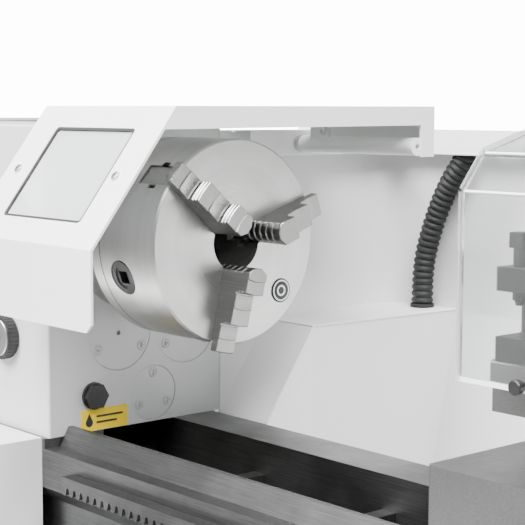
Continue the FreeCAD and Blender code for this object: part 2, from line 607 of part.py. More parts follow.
def make_feed_gearbox():
    x0, x1, y0, z0, z1 = HEAD_LEFT, -135.0, -192.0, -332.0, -164.5
    gearbox = box(x0, x1, y0, BED_FRONT, z0, z1)
    gearbox = round_edges(gearbox, 6, X_AXIS, lambda c: c.y < y0 + 1)
    shaft_bore = rod(9 + RUN, along(FEED_AXIS, x0 - 1), along(FEED_AXIS, x0 + 31))
    gearbox = gearbox.cut(shaft_bore)
    for z, radius in ROD_BORES:
        gearbox = gearbox.cut(rod(radius + RUN, (x1 - 30, ROD_Y, z), (x1 + 1, ROD_Y, z)))
    parts["feed_gearbox"] = gearbox
    x, z = SELECTOR_CENTRE
    dial = rod(20, (x, y0 - 0.5, z), (x, y0 - 16, z))
    grip = box(x - 4.5, x + 4.5, y0 - 30, y0 - 16, z - 23, z + 23)
    parts["feed_selector"] = fuse(dial, grip)


def make_rods():
    x0 = -135.0 - 28
    screw = rod(9, (x0, ROD_Y, LEADSCREW_Z), (ROD_RIGHT, ROD_Y, LEADSCREW_Z))
    screw = screw.fuse(rod(11, (-130, ROD_Y, LEADSCREW_Z), (1105, ROD_Y, LEADSCREW_Z)))
    parts["leadscrew"] = screw.removeSplitter()
    parts["feed_rod"] = rod(9.5, (x0, ROD_Y, FEED_ROD_Z), (ROD_RIGHT, ROD_Y, FEED_ROD_Z))
    control = rod(9.5, (x0, ROD_Y, CONTROL_ROD_Z), (ROD_RIGHT, ROD_Y, CONTROL_ROD_Z))
    hub = rod(17, (-118, ROD_Y, CONTROL_ROD_Z), (-94, ROD_Y, CONTROL_ROD_Z))
    arm = rod(6, (-106, ROD_Y, CONTROL_ROD_Z), (-106, ROD_Y - 86, CONTROL_ROD_Z - 12))
    knob = Part.makeSphere(13, V(-106, ROD_Y - 90, CONTROL_ROD_Z - 12.6))
    parts["control_rod"] = fuse(control, hub, arm, knob)


def make_chuck():
    chamfer, rear = 1.5, -CHUCK_DEPTH
    profile = [
        (rear, CHUCK_BORE_R), (0, CHUCK_BORE_R), (0, CHUCK_R - chamfer), (-chamfer, CHUCK_R), (rear, CHUCK_R)
    ]
    body = turned(profile)
    body = body.cut(ring(72, 26, (-52, 0, 0), (-37.8, 0, 0)))
    half = JAW_WIDTH / 2 + RUN
    for index in range(JAW_COUNT):
        slot = box(-38, 1, -half, half, 0, CHUCK_R + 1)
        slot = slot.fuse(box(-24 - RUN, -16 + RUN, -half - 3.5, half + 3.5, 0, CHUCK_R + 1))
        slot.rotate(V(0, 0, 0), X_AXIS, jaw_angle(index) - 90)
        body = body.cut(slot)
    pinion_bore = rod(PINION_R + RUN, (-45, 0, 40), (-45, 0, CHUCK_R + 1))
    pinion_bore.rotate(V(0, 0, 0), X_AXIS, PINION_ANGLE - 90)
    body = body.cut(pinion_bore)
    parts["chuck_body"] = body

    plate = ring(CHUCK_R, CHUCK_BORE_R, (BACKPLATE_X, 0, 0), (rear, 0, 0))
    plate = plate.makeChamfer(2, [e for e in plate.Edges if abs(e.CenterOfMass.x - BACKPLATE_X) < 0.1][:1])
    parts["chuck_backplate"] = plate
    parts["scroll_plate"] = ring(65, 26 + RUN, (-51.8, 0, 0), (-44.5, 0, 0)).fuse(
        ring(60, 30, (-44.5, 0, 0), (-38.3, 0, 0))
    ).removeSplitter().cut(pinion_clearance())

    for index in range(JAW_COUNT):
        parts["jaw_%d" % (index + 1)] = jaw(index)
    pinion = rod(PINION_R, (-45, 0, 67), (-45, 0, CHUCK_R - 1.4))
    pinion = pinion.cut(box(-50, -40, -5, 5, 70, CHUCK_R + 1))
    pinion.rotate(V(0, 0, 0), X_AXIS, PINION_ANGLE - 90)
    parts["chuck_pinion"] = pinion


def pinion_clearance():
    """Room in the scroll plate's rim for the key pinions' inner ends."""
    return ring(70, 62.5, (-53, 0, 0), (-30, 0, 0))


def jaw_angle(index):
    return JAW_FIRST_ANGLE + 360.0 * index / JAW_COUNT


def jaw(index):
    """A stepped jaw, tallest at its inner end, with a guide tongue on each side."""
    outline, inner = [(1, JAW_INNER_R)], JAW_INNER_R
    for radius, height in JAW_STEPS:
        outline += [(height, inner), (height, radius)]
        inner = radius
    outline += [(0.3, inner), (0.3, JAW_BASE_R), (-37.5, JAW_BASE_R)]
    outline += [(-37.5, JAW_INNER_R + 6.5), (1, JAW_INNER_R + 6.5)]
    half = JAW_WIDTH / 2
    body = prism(outline, "y", -half, half)
    tongue = box(-24, -16, -half - 3.4, half + 3.4, JAW_INNER_R + 12, TONGUE_R)
    body = body.fuse(tongue).removeSplitter()
    for side in (-1, 1):
        corner = ((3 * side, JAW_INNER_R), (9.5 * side, JAW_INNER_R + 4.3), (9.5 * side, 12), (3 * side, 12))
        body = body.cut(prism(corner, "x", -40, 40))
    body.rotate(V(0, 0, 0), X_AXIS, jaw_angle(index) - 90)
    return body


def make_chuck_guard():
    """A folded cover with a window; the sleeve under its rear edge turns on a fixed pin."""
    shell = prism(strip(GUARD_PROFILE, SHEET), "x", GUARD_LEFT, GUARD_RIGHT)
    flange = prism(GUARD_SIDE, "x", GUARD_RIGHT - SHEET, GUARD_RIGHT)
    left = prism(strip(GUARD_PROFILE[1:4], 12), "x", GUARD_LEFT, GUARD_LEFT + SHEET)
    shell = shell.fuse(flange).fuse(left)
    front_y, rear_y, bottom = GUARD_PROFILE[0][0], GUARD_PROFILE[3][0], GUARD_PROFILE[0][1]
    shell = shell.cut(box(GUARD_LEFT - 1, -94, 135, rear_y + 5, 60, 110))
    corner = ((GUARD_RIGHT - 7, bottom - 1), (GUARD_RIGHT + 1, bottom - 1), (GUARD_RIGHT + 1, bottom + 7))
    shell = shell.cut(prism(corner, "y", front_y - 1, front_y + 4))
    shell = shell.cut(on_slope(rounded_box(-94, 9, 20, 102.5, -4, 2, 3.5, Z_AXIS)))
    pane = rounded_box(-102, 19, 10, 111, -SHEET - 3, -SHEET, 5, Z_AXIS)
    parts["guard_window"] = on_slope(pane)

    y, z = GUARD_PIVOT
    sleeve = rod(SLEEVE_R, (SLEEVE_LEFT, y, z), (SLEEVE_RIGHT + 1, y, z))
    bracket = box(-85, -62, y - 5, y - 2, z, GUARD_PROFILE[3][1] - 1.5)
    shell = shell.fuse(sleeve).fuse(bracket)
    bore = rod(GUARD_PIN_R + RUN, (SLEEVE_LEFT - 1, y, z), (SLEEVE_RIGHT - 3, y, z))
    screw_hole = rod(2.5, (SLEEVE_RIGHT - 4, y, z), (SLEEVE_RIGHT + 2, y, z))
    parts["chuck_guard"] = shell.cut(bore).cut(screw_hole).removeSplitter()
    collar_x = SPLASH_X + CHANNEL_X
    parts["guard_rod"] = fuse(
        rod(GUARD_PIN_R, (SPLASH_X, y, z), (SLEEVE_RIGHT - 4, y, z)),
        rod(SLEEVE_R, (collar_x, y, z), (SLEEVE_LEFT - 0.5, y, z)),
    )


def on_slope(shape):
    """Place a shape drawn as (x, distance up the slope, height above it) on the guard's slope."""
    (y0, z0), (y1, z1) = GUARD_PROFILE[1], GUARD_PROFILE[2]
    shape.rotate(V(0, 0, 0), X_AXIS, math.degrees(math.atan2(z1 - z0, y1 - y0)))
    shape.translate(V(0, y0, z0))
    return shape


def wall_block(x0, y1, x1, z0, z1, radius):
    """A block with its two rear corners rounded, for cutting one sheet wall from another."""
    block = box(x0, x1, 60, y1, z0, z1)
    return round_edges(block, radius, Z_AXIS, lambda c: c.y > y1 - 1)


def make_splash_guard():
    """A sheet wall with a folded channel along its top, and a sloping block in its left corner."""
    t, left, rear, right = SHEET, SPLASH_X, SPLASH_Y, SPLASH_RIGHT
    wall = wall_block(left - t, rear + t, right + t, TRAY_Z, SPLASH_TOP, SPLASH_CORNER + t)
    wall = wall.cut(wall_block(left, rear, right, TRAY_Z - 1, SPLASH_TOP - t, SPLASH_CORNER))
    inner = left + CHANNEL_X, rear - CHANNEL_Y, right - CHANNEL_X
    wall = wall.cut(wall_block(*inner, SPLASH_TOP - 3 * t, SPLASH_TOP + 1, 12))
    lip = wall_block(inner[0] - t, inner[1] + t, inner[2] + t, SPLASH_LIP, SPLASH_TOP, 14)
    lip = lip.cut(wall_block(*inner, SPLASH_LIP - 1, SPLASH_TOP + 1, 12))
    wall = wall.fuse(lip).cut(box(left - 5, right + 5, 50, SPLASH_FRONT, TRAY_Z - 1, SPLASH_TOP + 5))
    for x0, x1 in ((left, left + 40), (right - 40, right)):
        wall = wall.cut(box(x0, x1, 50, CHANNEL_FRONT, SPLASH_LIP - 1, SPLASH_TOP + 5))
    guard_rear, guard_top = GUARD_PROFILE[3]
    wall = wall.fuse(box(left + 5, left + 34, guard_rear - t, guard_rear, SPLASH_TOP - t, guard_top - 2.5))
    y, z = GUARD_PIVOT
    wall = wall.cut(rod(GUARD_PIN_R + RUN, (left + 10, y, z), (left + 40, y, z)))

    fold, foot = (rear, SPLASH_FOLD_Z), (SPLASH_FOOT_Y, TRAY_Z)
    outer = [(foot[0] + t, foot[1]), (fold[0] + t, fold[1])]
    behind = outer + [(rear + 9, SPLASH_FOLD_Z), (rear + 9, TRAY_Z)]
    wall = wall.cut(prism(behind, "x", left - 5, right + 5))
    panel = prism([fold, foot] + outer, "x", left - t, right + t)
    wall = wall.fuse(panel.common(wall_block(left - t, rear + t, right + t, TRAY_Z, 0, SPLASH_CORNER + t)))

    front = (SPLASH_FRONT, -167.8)
    outline = ((front[0], TRAY_Z), front, LEDGE_FRONT, LEDGE_REAR, fold, foot)
    inside = [(front[0] + 2.5, TRAY_Z - 1), (front[0] + 2.5, front[1] - 0.6)]
    inside.append((LEDGE_FRONT[0] + 1.2, LEDGE_FRONT[1] - t))
    inside += [(rear + 20, LEDGE_REAR[1] - t), (rear + 20, TRAY_Z - 1)]
    plan = ((left, 91), (-67.5, 91), (-67.5, 146), (-41, rear), (left, rear))
    hollow = ((left - 5, 80), (-70, 80), (-70, 146), (-43.5, rear), (-43.5, rear + 5), (left - 5, rear + 5))
    core = prism(inside, "x", left - 10, 0).common(prism(hollow, "z", TRAY_Z - 1, 0))
    block = prism(outline, "x", left, 0).common(prism(plan, "z", TRAY_Z, 0))
    corner = wall_block(left, rear, right, TRAY_Z - 1, 0, SPLASH_CORNER)
    parts["splash_guard"] = wall.fuse(block.cut(core).common(corner)).removeSplitter()


def make_conduit():
    parts["conduit"] = tube_along(CONDUIT_ROUTE, CONDUIT_R)


def make_carriage():
    front, rear = -178.0, 98.0
    wings = box(CARRIAGE_LEFT, CARRIAGE_RIGHT, BED_FRONT - 4, BED_REAR + 6, WAY_Z + 0.06, -136)
    waist = box(CARRIAGE_LEFT - 1, CARRIAGE_LEFT + 52, -28, 30, WAY_Z - 5, -130)
    wings = wings.cut(waist).cut(waist.translated(V(CARRIAGE_RIGHT - CARRIAGE_LEFT - 51, 0, 0)))
    wings = wings.cut(prism(VEE_CUT, "x", CARRIAGE_LEFT - 1, CARRIAGE_RIGHT + 1))
    nose = box(CARRIAGE_LEFT + 30, CARRIAGE_RIGHT - 30, front, BED_FRONT - 4, -184, -140)
    keeper = box(CARRIAGE_LEFT + 10, CARRIAGE_RIGHT - 10, BED_REAR + 0.5, rear - 6, -190, WAY_Z + 0.06)
    saddle = fuse(wings, nose, keeper)
    saddle = saddle.fuse(dovetail(COMPOUND_X, 60, front, rear, -136, -118))
    saddle = saddle.cut(rod(6, (COMPOUND_X, front - 1, -158), (COMPOUND_X, front + 30, -158)))
    parts["saddle"] = saddle.removeSplitter()

    apron = rounded_box(CARRIAGE_LEFT + 24, CARRIAGE_RIGHT - 24, -212, -110, -344, -184, 8, Y_AXIS)
    apron = round_edges(apron, 5, X_AXIS, lambda c: c.y < -211)
    for z, radius in ((LEADSCREW_Z, 11.6), (FEED_ROD_Z, 10.1), (CONTROL_ROD_Z, 10.1)):
        apron = apron.cut(rod(radius, (CARRIAGE_LEFT, ROD_Y, z), (CARRIAGE_RIGHT, ROD_Y, z)))
    parts["apron"] = apron
    parts["carriage_handwheel"] = handwheel(
        72, (CARRIAGE_WHEEL[0], -248, CARRIAGE_WHEEL[1]), (0, -1, 0), (-0.8, 0, -0.6), 8, 16, 3, 43.5
    )
    x, z = HALF_NUT_PIVOT
    parts["half_nut_lever"] = lever((x, -213.5, z), (0, -1, 0), (0.3, 0, -1), 60, 15, 20)


def dovetail(x, half, y0, y1, z0, z1, clearance=0.0):
    """A dovetail slide along Y, wider at its top."""
    undercut = (z1 - z0) * 0.55
    outline = (
        (x - half + undercut + clearance, z0), (x - half + clearance, z1), (x + half - clearance, z1),
        (x + half - undercut - clearance, z0),
    )
    return prism(outline, "y", y0, y1)


def make_cross_slide():
    body = rounded_box(COMPOUND_X - 78, COMPOUND_X + 78, CROSS_FRONT, CROSS_REAR, -134, -80, 4, Z_AXIS)
    body = body.cut(dovetail(COMPOUND_X, 60.2, CROSS_FRONT - 1, CROSS_REAR + 1, -136.36, -117.8))
    for x in (COMPOUND_X - 40, COMPOUND_X + 40):
        tee = box(x - 6, x + 6, 6, CROSS_REAR + 1, -90, -79)
        body = body.cut(tee.fuse(box(x - 10, x + 10, 6, CROSS_REAR + 1, -100, -90)))
    parts["cross_slide"] = body.removeSplitter()
    parts["cross_handwheel"] = handwheel(
        46, (COMPOUND_X, -226, CROSS_WHEEL_Z), (0, -1, 0), (0.8, 0, 0.6), 6, 15, 3, 55.8
    )


def make_compound():
    x, y = COMPOUND_X, COMPOUND_Y
    base = rod(50, (x, y, -80), (x, y, -61))
    slide_bed = box(340.4, 528, y - 30, y + 30, -63, -47)
    rail = prism(((y - 22, -47), (y - 27, -38), (y + 27, -38), (y + 22, -47)), "x", 347, 528)
    end_plate = box(521, 528, y - 30, y + 30, -61, -30)
    foot = box(476, 488, y - 52, y - 30, -61, -48)
    post = box(476, 488, y - 52, y - 42, -61, 96)
    reach = box(476, 488, y - 52, y + 12, 82, 96)
    pivot = rod(5, (352, y + 4, GUARD_ARM_Z), (488, y + 4, GUARD_ARM_Z))
    parts["compound_base"] = fuse(base, slide_bed, rail, end_plate, foot, post, reach, pivot)
    top = box(346, 505, y - 38, y + 38, -44.5, POST_Z0)
    top = round_edges(top, 2, X_AXIS, lambda c: c.z > POST_Z0 - 1)
    groove = ((y - 22.3, -47), (y - 27.3, -37.8), (y + 27.3, -37.8), (y + 22.3, -47))
    top = top.cut(prism(groove, "x", 345, 506))
    stud = rod(9 - RUN, (POST_X, y, POST_Z0), (POST_X, y, POST_Z1 + 8))
    parts["top_slide"] = top.fuse(stud).removeSplitter()
    parts["top_slide_handwheel"] = handwheel(27, (556, y, -45), (1, 0, 0), (0, 0.6, -0.8), 4.5, 9, 3, 35.5)


def make_tool_post():
    """A four-way post: two square flanges about a core, with clamping screws through the top one."""
    x, y, half = POST_X, COMPOUND_Y, POST_SIDE / 2
    post = rounded_box(x - half, x + half, y - half, y + half, POST_Z0, POST_Z1, 2, Z_AXIS)
    for turn in range(4):
        slot = box(x - half - 1, x - half + SLOT_DEPTH, y - half - 1, y + half + 1, SLOT_Z0, SLOT_Z1)
        slot.rotate(V(x, y, 0), Z_AXIS, 90 * turn)
        post = post.cut(slot)
    post = post.cut(rod(9, (x, y, POST_Z0 - 1), (x, y, POST_Z1 + 1)))
    solids = [post]
    inset = half - SLOT_DEPTH / 2
    for side_x, side_y in ((-1, -1), (-1, 1), (1, -1), (1, 1)):
        sx, sy = x + side_x * inset, y + side_y * inset
        bottom = SLOT_Z1 - 8 if side_x > 0 or side_y < 0 else SLOT_Z1 - 1
        shank = rod(4, (sx, sy, bottom + 3), (sx, sy, POST_Z1 + 10.3))
        nose = cone(2.2, 3, (sx, sy, bottom), (sx, sy, bottom + 3))
        head = rounded_box(sx - 4.8, sx + 4.8, sy - 4.8, sy + 4.8, POST_Z1 + 10.3, POST_Z1 + 18.6, 1, Z_AXIS)
        solids[0] = solids[0].cut(rod(4, (sx, sy, SLOT_Z1 - 1), (sx, sy, POST_Z1 + 1)))
        solids.append(fuse(shank, nose, head))
    parts["tool_post"] = Part.makeCompound(solids)
    lever_z = POST_Z1 + 9
    hub = (x, y, lever_z)
    handle = lever(hub, (0, 0, 1), (1, 0.25, 0.25), 50, 13, 22, 5, 9)
    parts["tool_post_lever"] = handle
    x0, z0 = x - half + 1, SLOT_Z0
    tool = box(x0, x0 + 16, y - half + 22, y + half + 4, z0, z0 + 18)
    tip = ((x0, y + half + 4), (x0 + 16, y + half + 4), (x0 + 12, y + half + 11), (x0 + 6, y + half + 13))
    parts["cutting_tool"] = fuse(tool, prism(tip, "z", z0 + 10, z0 + 18))


def make_tool_guard():
    y = COMPOUND_Y
    profile = ((-140.0, -40.2), (-140.0, 60.0), (-124.0, 79.5), (y + 14, 98.0))
    shield = prism(strip(profile, 3), "x", 349, 470)
    for x0 in (362.0, 440.0):
        knuckle = rod(9, (x0, y + 4, GUARD_ARM_Z), (x0 + 20, y + 4, GUARD_ARM_Z))
        above = prism(((y - 20, 99), (y - 20, 90.5), (y + 14, 97), (y + 14, 105)), "x", x0 - 1, x0 + 21)
        shield = shield.fuse(knuckle.cut(above))
        shield = shield.cut(rod(5 + RUN, (x0 - 1, y + 4, GUARD_ARM_Z), (x0 + 21, y + 4, GUARD_ARM_Z)))
    parts["tool_guard"] = shield.removeSplitter()


def make_tailstock():
    base = box(TAIL_LEFT, TAIL_RIGHT, BED_FRONT + 4, BED_REAR, WAY_Z + 0.06, -122)
    base = base.cut(prism(VEE_CUT, "x", TAIL_LEFT - 1, TAIL_RIGHT + 1))
    base = base.fuse(box(TAIL_LEFT + 50, TAIL_RIGHT - 50, -26, 30, -190, WAY_Z + 0.06))
    waist = ((-70, -122), (70, -122), (34, -40), (34, 0), (-34, 0), (-34, -40))
    body = prism(waist, "x", TAIL_LEFT + 10, TAIL_RIGHT - 10)
    barrel = rod(40, (TAIL_LEFT - 20, 0, 0), (TAIL_RIGHT, 0, 0))
    body = fuse(base, body, barrel).cut(rod(QUILL_R + RUN, (TAIL_LEFT - 21, 0, 0), (TAIL_RIGHT - 12, 0, 0)))
    body = body.cut(rod(9.1, (TAIL_RIGHT - 20, 0, 0), (TAIL_RIGHT + 1, 0, 0)))
    body = body.cut(rod(7.05, (TAIL_LEFT + 30, 0, 30), (TAIL_LEFT + 30, 0, 60)))
    parts["tailstock_body"] = body.removeSplitter()
    quill = rod(QUILL_R, (TAIL_LEFT - 30, 0, 0), (TAIL_RIGHT - 30, 0, 0))
    quill = quill.cut(rod(9.2, (TAIL_LEFT - 31, 0, 0), (TAIL_RIGHT - 29, 0, 0)))
    centre = cone(1.0, 12.0, (TAIL_LEFT - 72, 0, 0), (TAIL_LEFT - 53, 0, 0))
    centre = centre.fuse(rod(12, (TAIL_LEFT - 53, 0, 0), (TAIL_LEFT - 30, 0, 0)))
    centre = centre.fuse(rod(9.2, (TAIL_LEFT - 30, 0, 0), (TAIL_LEFT + 20, 0, 0)))
    parts["quill"] = fuse(quill, centre)
    wheel = handwheel(66, (TAIL_RIGHT + 22, 0, 0), (1, 0, 0), (0, -0.8, 0.6), 7, 16, 3, 29.5)
    parts["quill_handwheel"] = fuse(wheel, rod(9, (TAIL_RIGHT - 18, 0, 0), (TAIL_RIGHT + 5, 0, 0)))
    parts["quill_lock"] = lever((TAIL_LEFT + 30, 0, 41), (0, 0, 1), (0, -1, 0.5), 62, 12, 20, 4.5, 9)


def build():
    make_cabinets()
    make_brake_pedal()
    make_levelling_feet()
    make_chip_tray()
    make_bed()
    make_headstock()
    make_headstock_trim()
    make_headstock_levers()
    make_spindle()
    make_gears()
    make_motor_drive()
    make_end_cover()
    make_feed_gearbox()
    make_rods()
    make_chuck()
    make_chuck_guard()
    make_splash_guard()
    make_conduit()
    make_carriage()
    make_cross_slide()
    make_compound()
    make_tool_post()
    make_tool_guard()
    make_tailstock()


def footprint_shift():
    whole = FreeCAD.BoundBox()
    for shape in parts.values():
        whole.add(shape.optimalBoundingBox(True, False))
    return V(-(whole.XMin + whole.XMax) / 2, -(whole.YMin + whole.YMax) / 2, -whole.ZMin)


build()
SHIFT = footprint_shift()
os.makedirs("parts", exist_ok=True)
for name, shape in parts.items():
    shape.translate(SHIFT)
    shape.exportStep("parts/%s.step" % name)
    flaw = "" if shape.isValid() and shape.Solids else "  NOT VALID"
    print("%-26s solids %3d  volume %9.1f cm3%s" % (name, len(shape.Solids), shape.Volume / 1000, flaw))
print("nodes", len(parts), "shift", SHIFT)
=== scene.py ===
import json
import math

import bmesh
import bpy
from mathutils import Matrix, Vector


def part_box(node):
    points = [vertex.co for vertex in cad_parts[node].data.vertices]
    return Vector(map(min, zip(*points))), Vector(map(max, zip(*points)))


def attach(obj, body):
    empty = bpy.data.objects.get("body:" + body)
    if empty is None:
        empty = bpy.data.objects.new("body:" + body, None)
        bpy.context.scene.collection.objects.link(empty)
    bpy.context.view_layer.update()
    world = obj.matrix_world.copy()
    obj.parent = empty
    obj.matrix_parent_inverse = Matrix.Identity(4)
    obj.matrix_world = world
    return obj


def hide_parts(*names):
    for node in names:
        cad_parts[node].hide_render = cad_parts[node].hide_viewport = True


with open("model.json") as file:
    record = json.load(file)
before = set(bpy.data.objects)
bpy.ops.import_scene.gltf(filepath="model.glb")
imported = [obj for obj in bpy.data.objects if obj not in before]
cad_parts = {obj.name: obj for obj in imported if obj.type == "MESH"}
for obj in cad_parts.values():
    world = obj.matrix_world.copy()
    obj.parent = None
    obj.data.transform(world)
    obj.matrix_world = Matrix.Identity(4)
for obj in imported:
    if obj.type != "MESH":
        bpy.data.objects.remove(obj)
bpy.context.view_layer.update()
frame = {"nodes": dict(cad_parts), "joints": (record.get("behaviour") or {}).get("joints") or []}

MM = 0.001
NODES = frame["nodes"]
JOINTS = {joint["name"]: joint for joint in frame["joints"]}
SPINDLE = Vector(JOINTS["spindle_spin"]["pos_m"])

# Places and sizes are in millimetres from the chuck's face centre: X to the tailstock, Y to the rear, Z up.
# The camera stands in front of the carriage and looks back at the chuck; its angles are in degrees.
CAMERA_PLACE = (835.0, -703.4, 101.1)
CAMERA_YAW, CAMERA_PITCH, CAMERA_ROLL = 41.18, 6.11, 0.26
CAMERA_LENS, SENSOR_WIDTH = 97.07, 36.0

# Strength of the world as a light, and as the background the camera sees.
WORLD_LIGHT, WORLD_SEEN = 0.36, 14.0
# Name, place, size in metres, power in watts and target of each lamp.
LIGHTS = (
    ("key", (-100, -1900, 1500), (1.2, 1.2), 210.0, (0, 0, 0)),
    ("top", (0, -300, 1900), (1.6, 1.0), 90.0, (0, 50, 0)),
    ("side", (1300, -500, 1600), (1.0, 1.0), 95.0, (0, 0, -40)),
)
FLOOR_REACH_M = 14.0

HEAD_FACE_X, HEAD_FRONT_Y = -130.0, -89.0
GUARD_BEND, GUARD_CORNER = (-163.0, 6.5), (-89.0, 104.5)
# On the guard's sloped panel: each screw's X and distance up the slope, and the window's limits likewise.
GUARD_SCREWS = ((-110.9, 61.9), (18.8, 60.8))
WINDOW_HOLE = (-93.9, 8.9, 20.1, 102.4)
# The window gasket's width and depth; its dark rubber also paints the shade at the recessed pane's edges.
GASKET_WIDTH, GASKET_DEPTH = 2.1, 2.0
HINGE_SCREW = (-67.6, 156.9, 84)

# An arm is a distance from the spindle's axis.
CHUCK_RADIUS, CHUCK_JOINT_X = 80.0, -70.5
BADGE_ANGLE, BADGE_ARM, BADGE_RADIUS = -41.7, 62.0, 9.7
KEY_SOCKET_X, KEY_SOCKET_ARM = -45.0, 75.0

# The hem runs from its front end back to a rounded corner, and then along X to its right end.
HEM_CORNER, HEM_RADIUS, HEM_LEVEL = (-105.0, 281.0), 13.0, 63.0
HEM_FRONT_Y, HEM_END_X = 104.0, 1140.0
# Radius and places of the rounded edges of the wedge-shaped deflector.
WEDGE_EDGES = (
    (1.0, ((-67.3, 91.6, -167.3), (-67.3, 145.7, -88.0), (-41.4, 309.0, -84.2))),
    (0.8, ((-129.0, 145.5, -87.9), (-67.3, 145.5, -87.9))),
    (0.8, ((-67.3, 91.6, -167.3), (-67.3, 91.6, -400.0))),
)
CONDUIT_ROUTE = (
    (-76.5, 297.5, -84.3), (-76.5, 297.5, -66.0), (-74.4, 296.8, -42.0), (-66.5, 296.3, -14.0),
    (-53.5, 296.0, 17.0), (-39.0, 295.6, 41.0), (-24.0, 295.4, 58.0), (-19.0, 295.4, 76.0),
)
CONDUIT_RADIUS, CONDUIT_GROOVE, CONDUIT_PITCH = 10.5, 8.6, 6.3

# A jaw's side outline: (along X, distance from the spindle's axis).
JAW_PROFILE = (
    (31.4, 18), (32, 18.6), (32, 28.4), (31, 28.9), (31, 38.4), (30.4, 39), (28.3, 39), (27.5, 38),
    (26.7, 39), (24.8, 39), (24, 38), (23.2, 39), (19.3, 39), (19.3, 40.3), (20.5, 40.6), (20.15, 43),
    (20, 46), (20.15, 49), (20.5, 51.2), (19.5, 51.6), (19.5, 63.4), (18.9, 64), (16.8, 64), (16, 63),
    (15.2, 64), (13.3, 64), (12.5, 63), (11.7, 64), (7.3, 64), (7.3, 65.3), (8.5, 65.6), (8.15, 68),
    (8, 71), (8.15, 74), (8.5, 75.6), (7.5, 76), (7.5, 85.4), (6.9, 86), (0.3, 86), (0.3, 78.5),
    (-37.5, 78.5), (-37.5, 24.5), (-9, 24.5), (-9, 18),
)
JAW_HALF_WIDTH, JAW_CHAMFER = 9, 0.5
NOSE_RADIUS, NOSE_FLAT, NOSE_END = 18, 3, 24
NOSE_GROOVES = (-5, 2, 9, 16, 23)
TONGUE = ((-24, 30), (-16, 30), (-16, 72), (-24, 72))

# The yellow label's Y and Z limits, and the raised drop and bars on it.
LABEL = (-58.0, -11.3, -164.6, -146.3)
LABEL_THICKNESS, MARK_THICKNESS = 0.35, 0.06
DROP_CENTRE, DROP_RADIUS, DROP_TIP_Z = (-50.0, -157.6), 3.6, -149.6
LABEL_BARS, BARS_START = ((-153.0, 27.0), (-158.0, 21.0)), -43.0

HUB_RADIUS, HUB_DEPTH, HUB_FACE_RADIUS = 18.2, 10.5, 16.0
TOOL_GUARD_BENDS, TOOL_GUARD_TOP = ((-140.0, 60.0), (-124.0, 79.5)), (-58.0, 98.0)
TOOL_GUARD_THICKNESS, TOOL_GUARD_KNOB = 3.2, (391, -139.9, -36.7)
LEADSCREW_PITCH, LEADSCREW_CORE, LEADSCREW_CREST = 6.0, 9.0, 11.0
THREAD_START, THREAD_END = -130.0, 1105.0
MOTOR_FINS, FIN_THICKNESS = 36, 2.0
FIN_OUTLINE = ((-505, 76.5), (-310, 76.5), (-312, 81.5), (-503, 81.5))
# The fan cover's place, and the radii and width of its slots, which are drawn as black rings of painted
# shade.
FAN_COVER_X, FAN_SLOTS, FAN_SLOT_WIDTH = -236.0, (22, 34, 46, 58), 5
# Blank plates: X limits, then Z limits.
HEAD_PLATE = (-300, -215, -60, 40)
GEARBOX_PLATES = ((-270, -160, -310, -190), (-510, -400, -310, -190))
PLATE_THICKNESS, RULES_PER_PLATE = 0.8, 6
SIGHT_GLASS = (-165, HEAD_FRONT_Y, 20)
LOUVRES, LOUVRE_STEP, LOUVRE_HALF = 9, 18, 90


def spot(x, y, z):
    """A place given in millimetres from the centre of the chuck's face."""
    return SPINDLE + Vector((x, y, z)) * MM


def corner(node, end):
    """The low (0) or high (1) corner of a node, in millimetres from the chuck's face centre."""
    return (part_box(node)[end] - SPINDLE) / MM


# ---------------------------------------------------------------- materials

def new_material(name):
    material = bpy.data.materials.new(name)
    material.use_nodes = True
    tree = material.node_tree
    shader = tree.nodes["Principled BSDF"]
    return material, tree, shader


def add(tree, kind, **settings):
    node = tree.nodes.new(kind)
    for key, value in settings.items():
        setattr(node, key, value)
    return node


def object_coords(tree, scale=(1, 1, 1)):
    coords = add(tree, "ShaderNodeTexCoord")
    mapping = add(tree, "ShaderNodeMapping")
    mapping.inputs["Scale"].default_value = scale
    tree.links.new(coords.outputs["Object"], mapping.inputs["Vector"])
    return mapping.outputs["Vector"]


def noise(tree, vector, scale, detail=4.0, roughness=0.55):
    node = add(tree, "ShaderNodeTexNoise")
    node.inputs["Scale"].default_value = scale
    node.inputs["Detail"].default_value = detail
    node.inputs["Roughness"].default_value = roughness
    tree.links.new(vector, node.inputs["Vector"])
    return node.outputs["Fac"]


def spread(tree, factor, low, high, start=0.3, end=0.7):
    """Map a 0-1 noise onto a range of values."""
    node = add(tree, "ShaderNodeMapRange")
    node.inputs["From Min"].default_value = start
    node.inputs["From Max"].default_value = end
    node.inputs["To Min"].default_value = low
    node.inputs["To Max"].default_value = high
    tree.links.new(factor, node.inputs["Value"])
    return node.outputs["Result"]


def blend_colours(tree, factor, first, second):
    node = add(tree, "ShaderNodeMix", data_type="RGBA")
    node.inputs[6].default_value = (*first, 1)
    node.inputs[7].default_value = (*second, 1)
    tree.links.new(factor, node.inputs[0])
    return node.outputs[2]


def bump(tree, shader, height, strength, distance):
    node = add(tree, "ShaderNodeBump")
    node.inputs["Strength"].default_value = strength
    node.inputs["Distance"].default_value = distance
    tree.links.new(height, node.inputs["Height"])
    tree.links.new(node.outputs["Normal"], shader.inputs["Normal"])


def plus(tree, first, second):
    node = add(tree, "ShaderNodeMath", operation="ADD")
    tree.links.new(first, node.inputs[0])
    tree.links.new(second, node.inputs[1])
    return node.outputs[0]


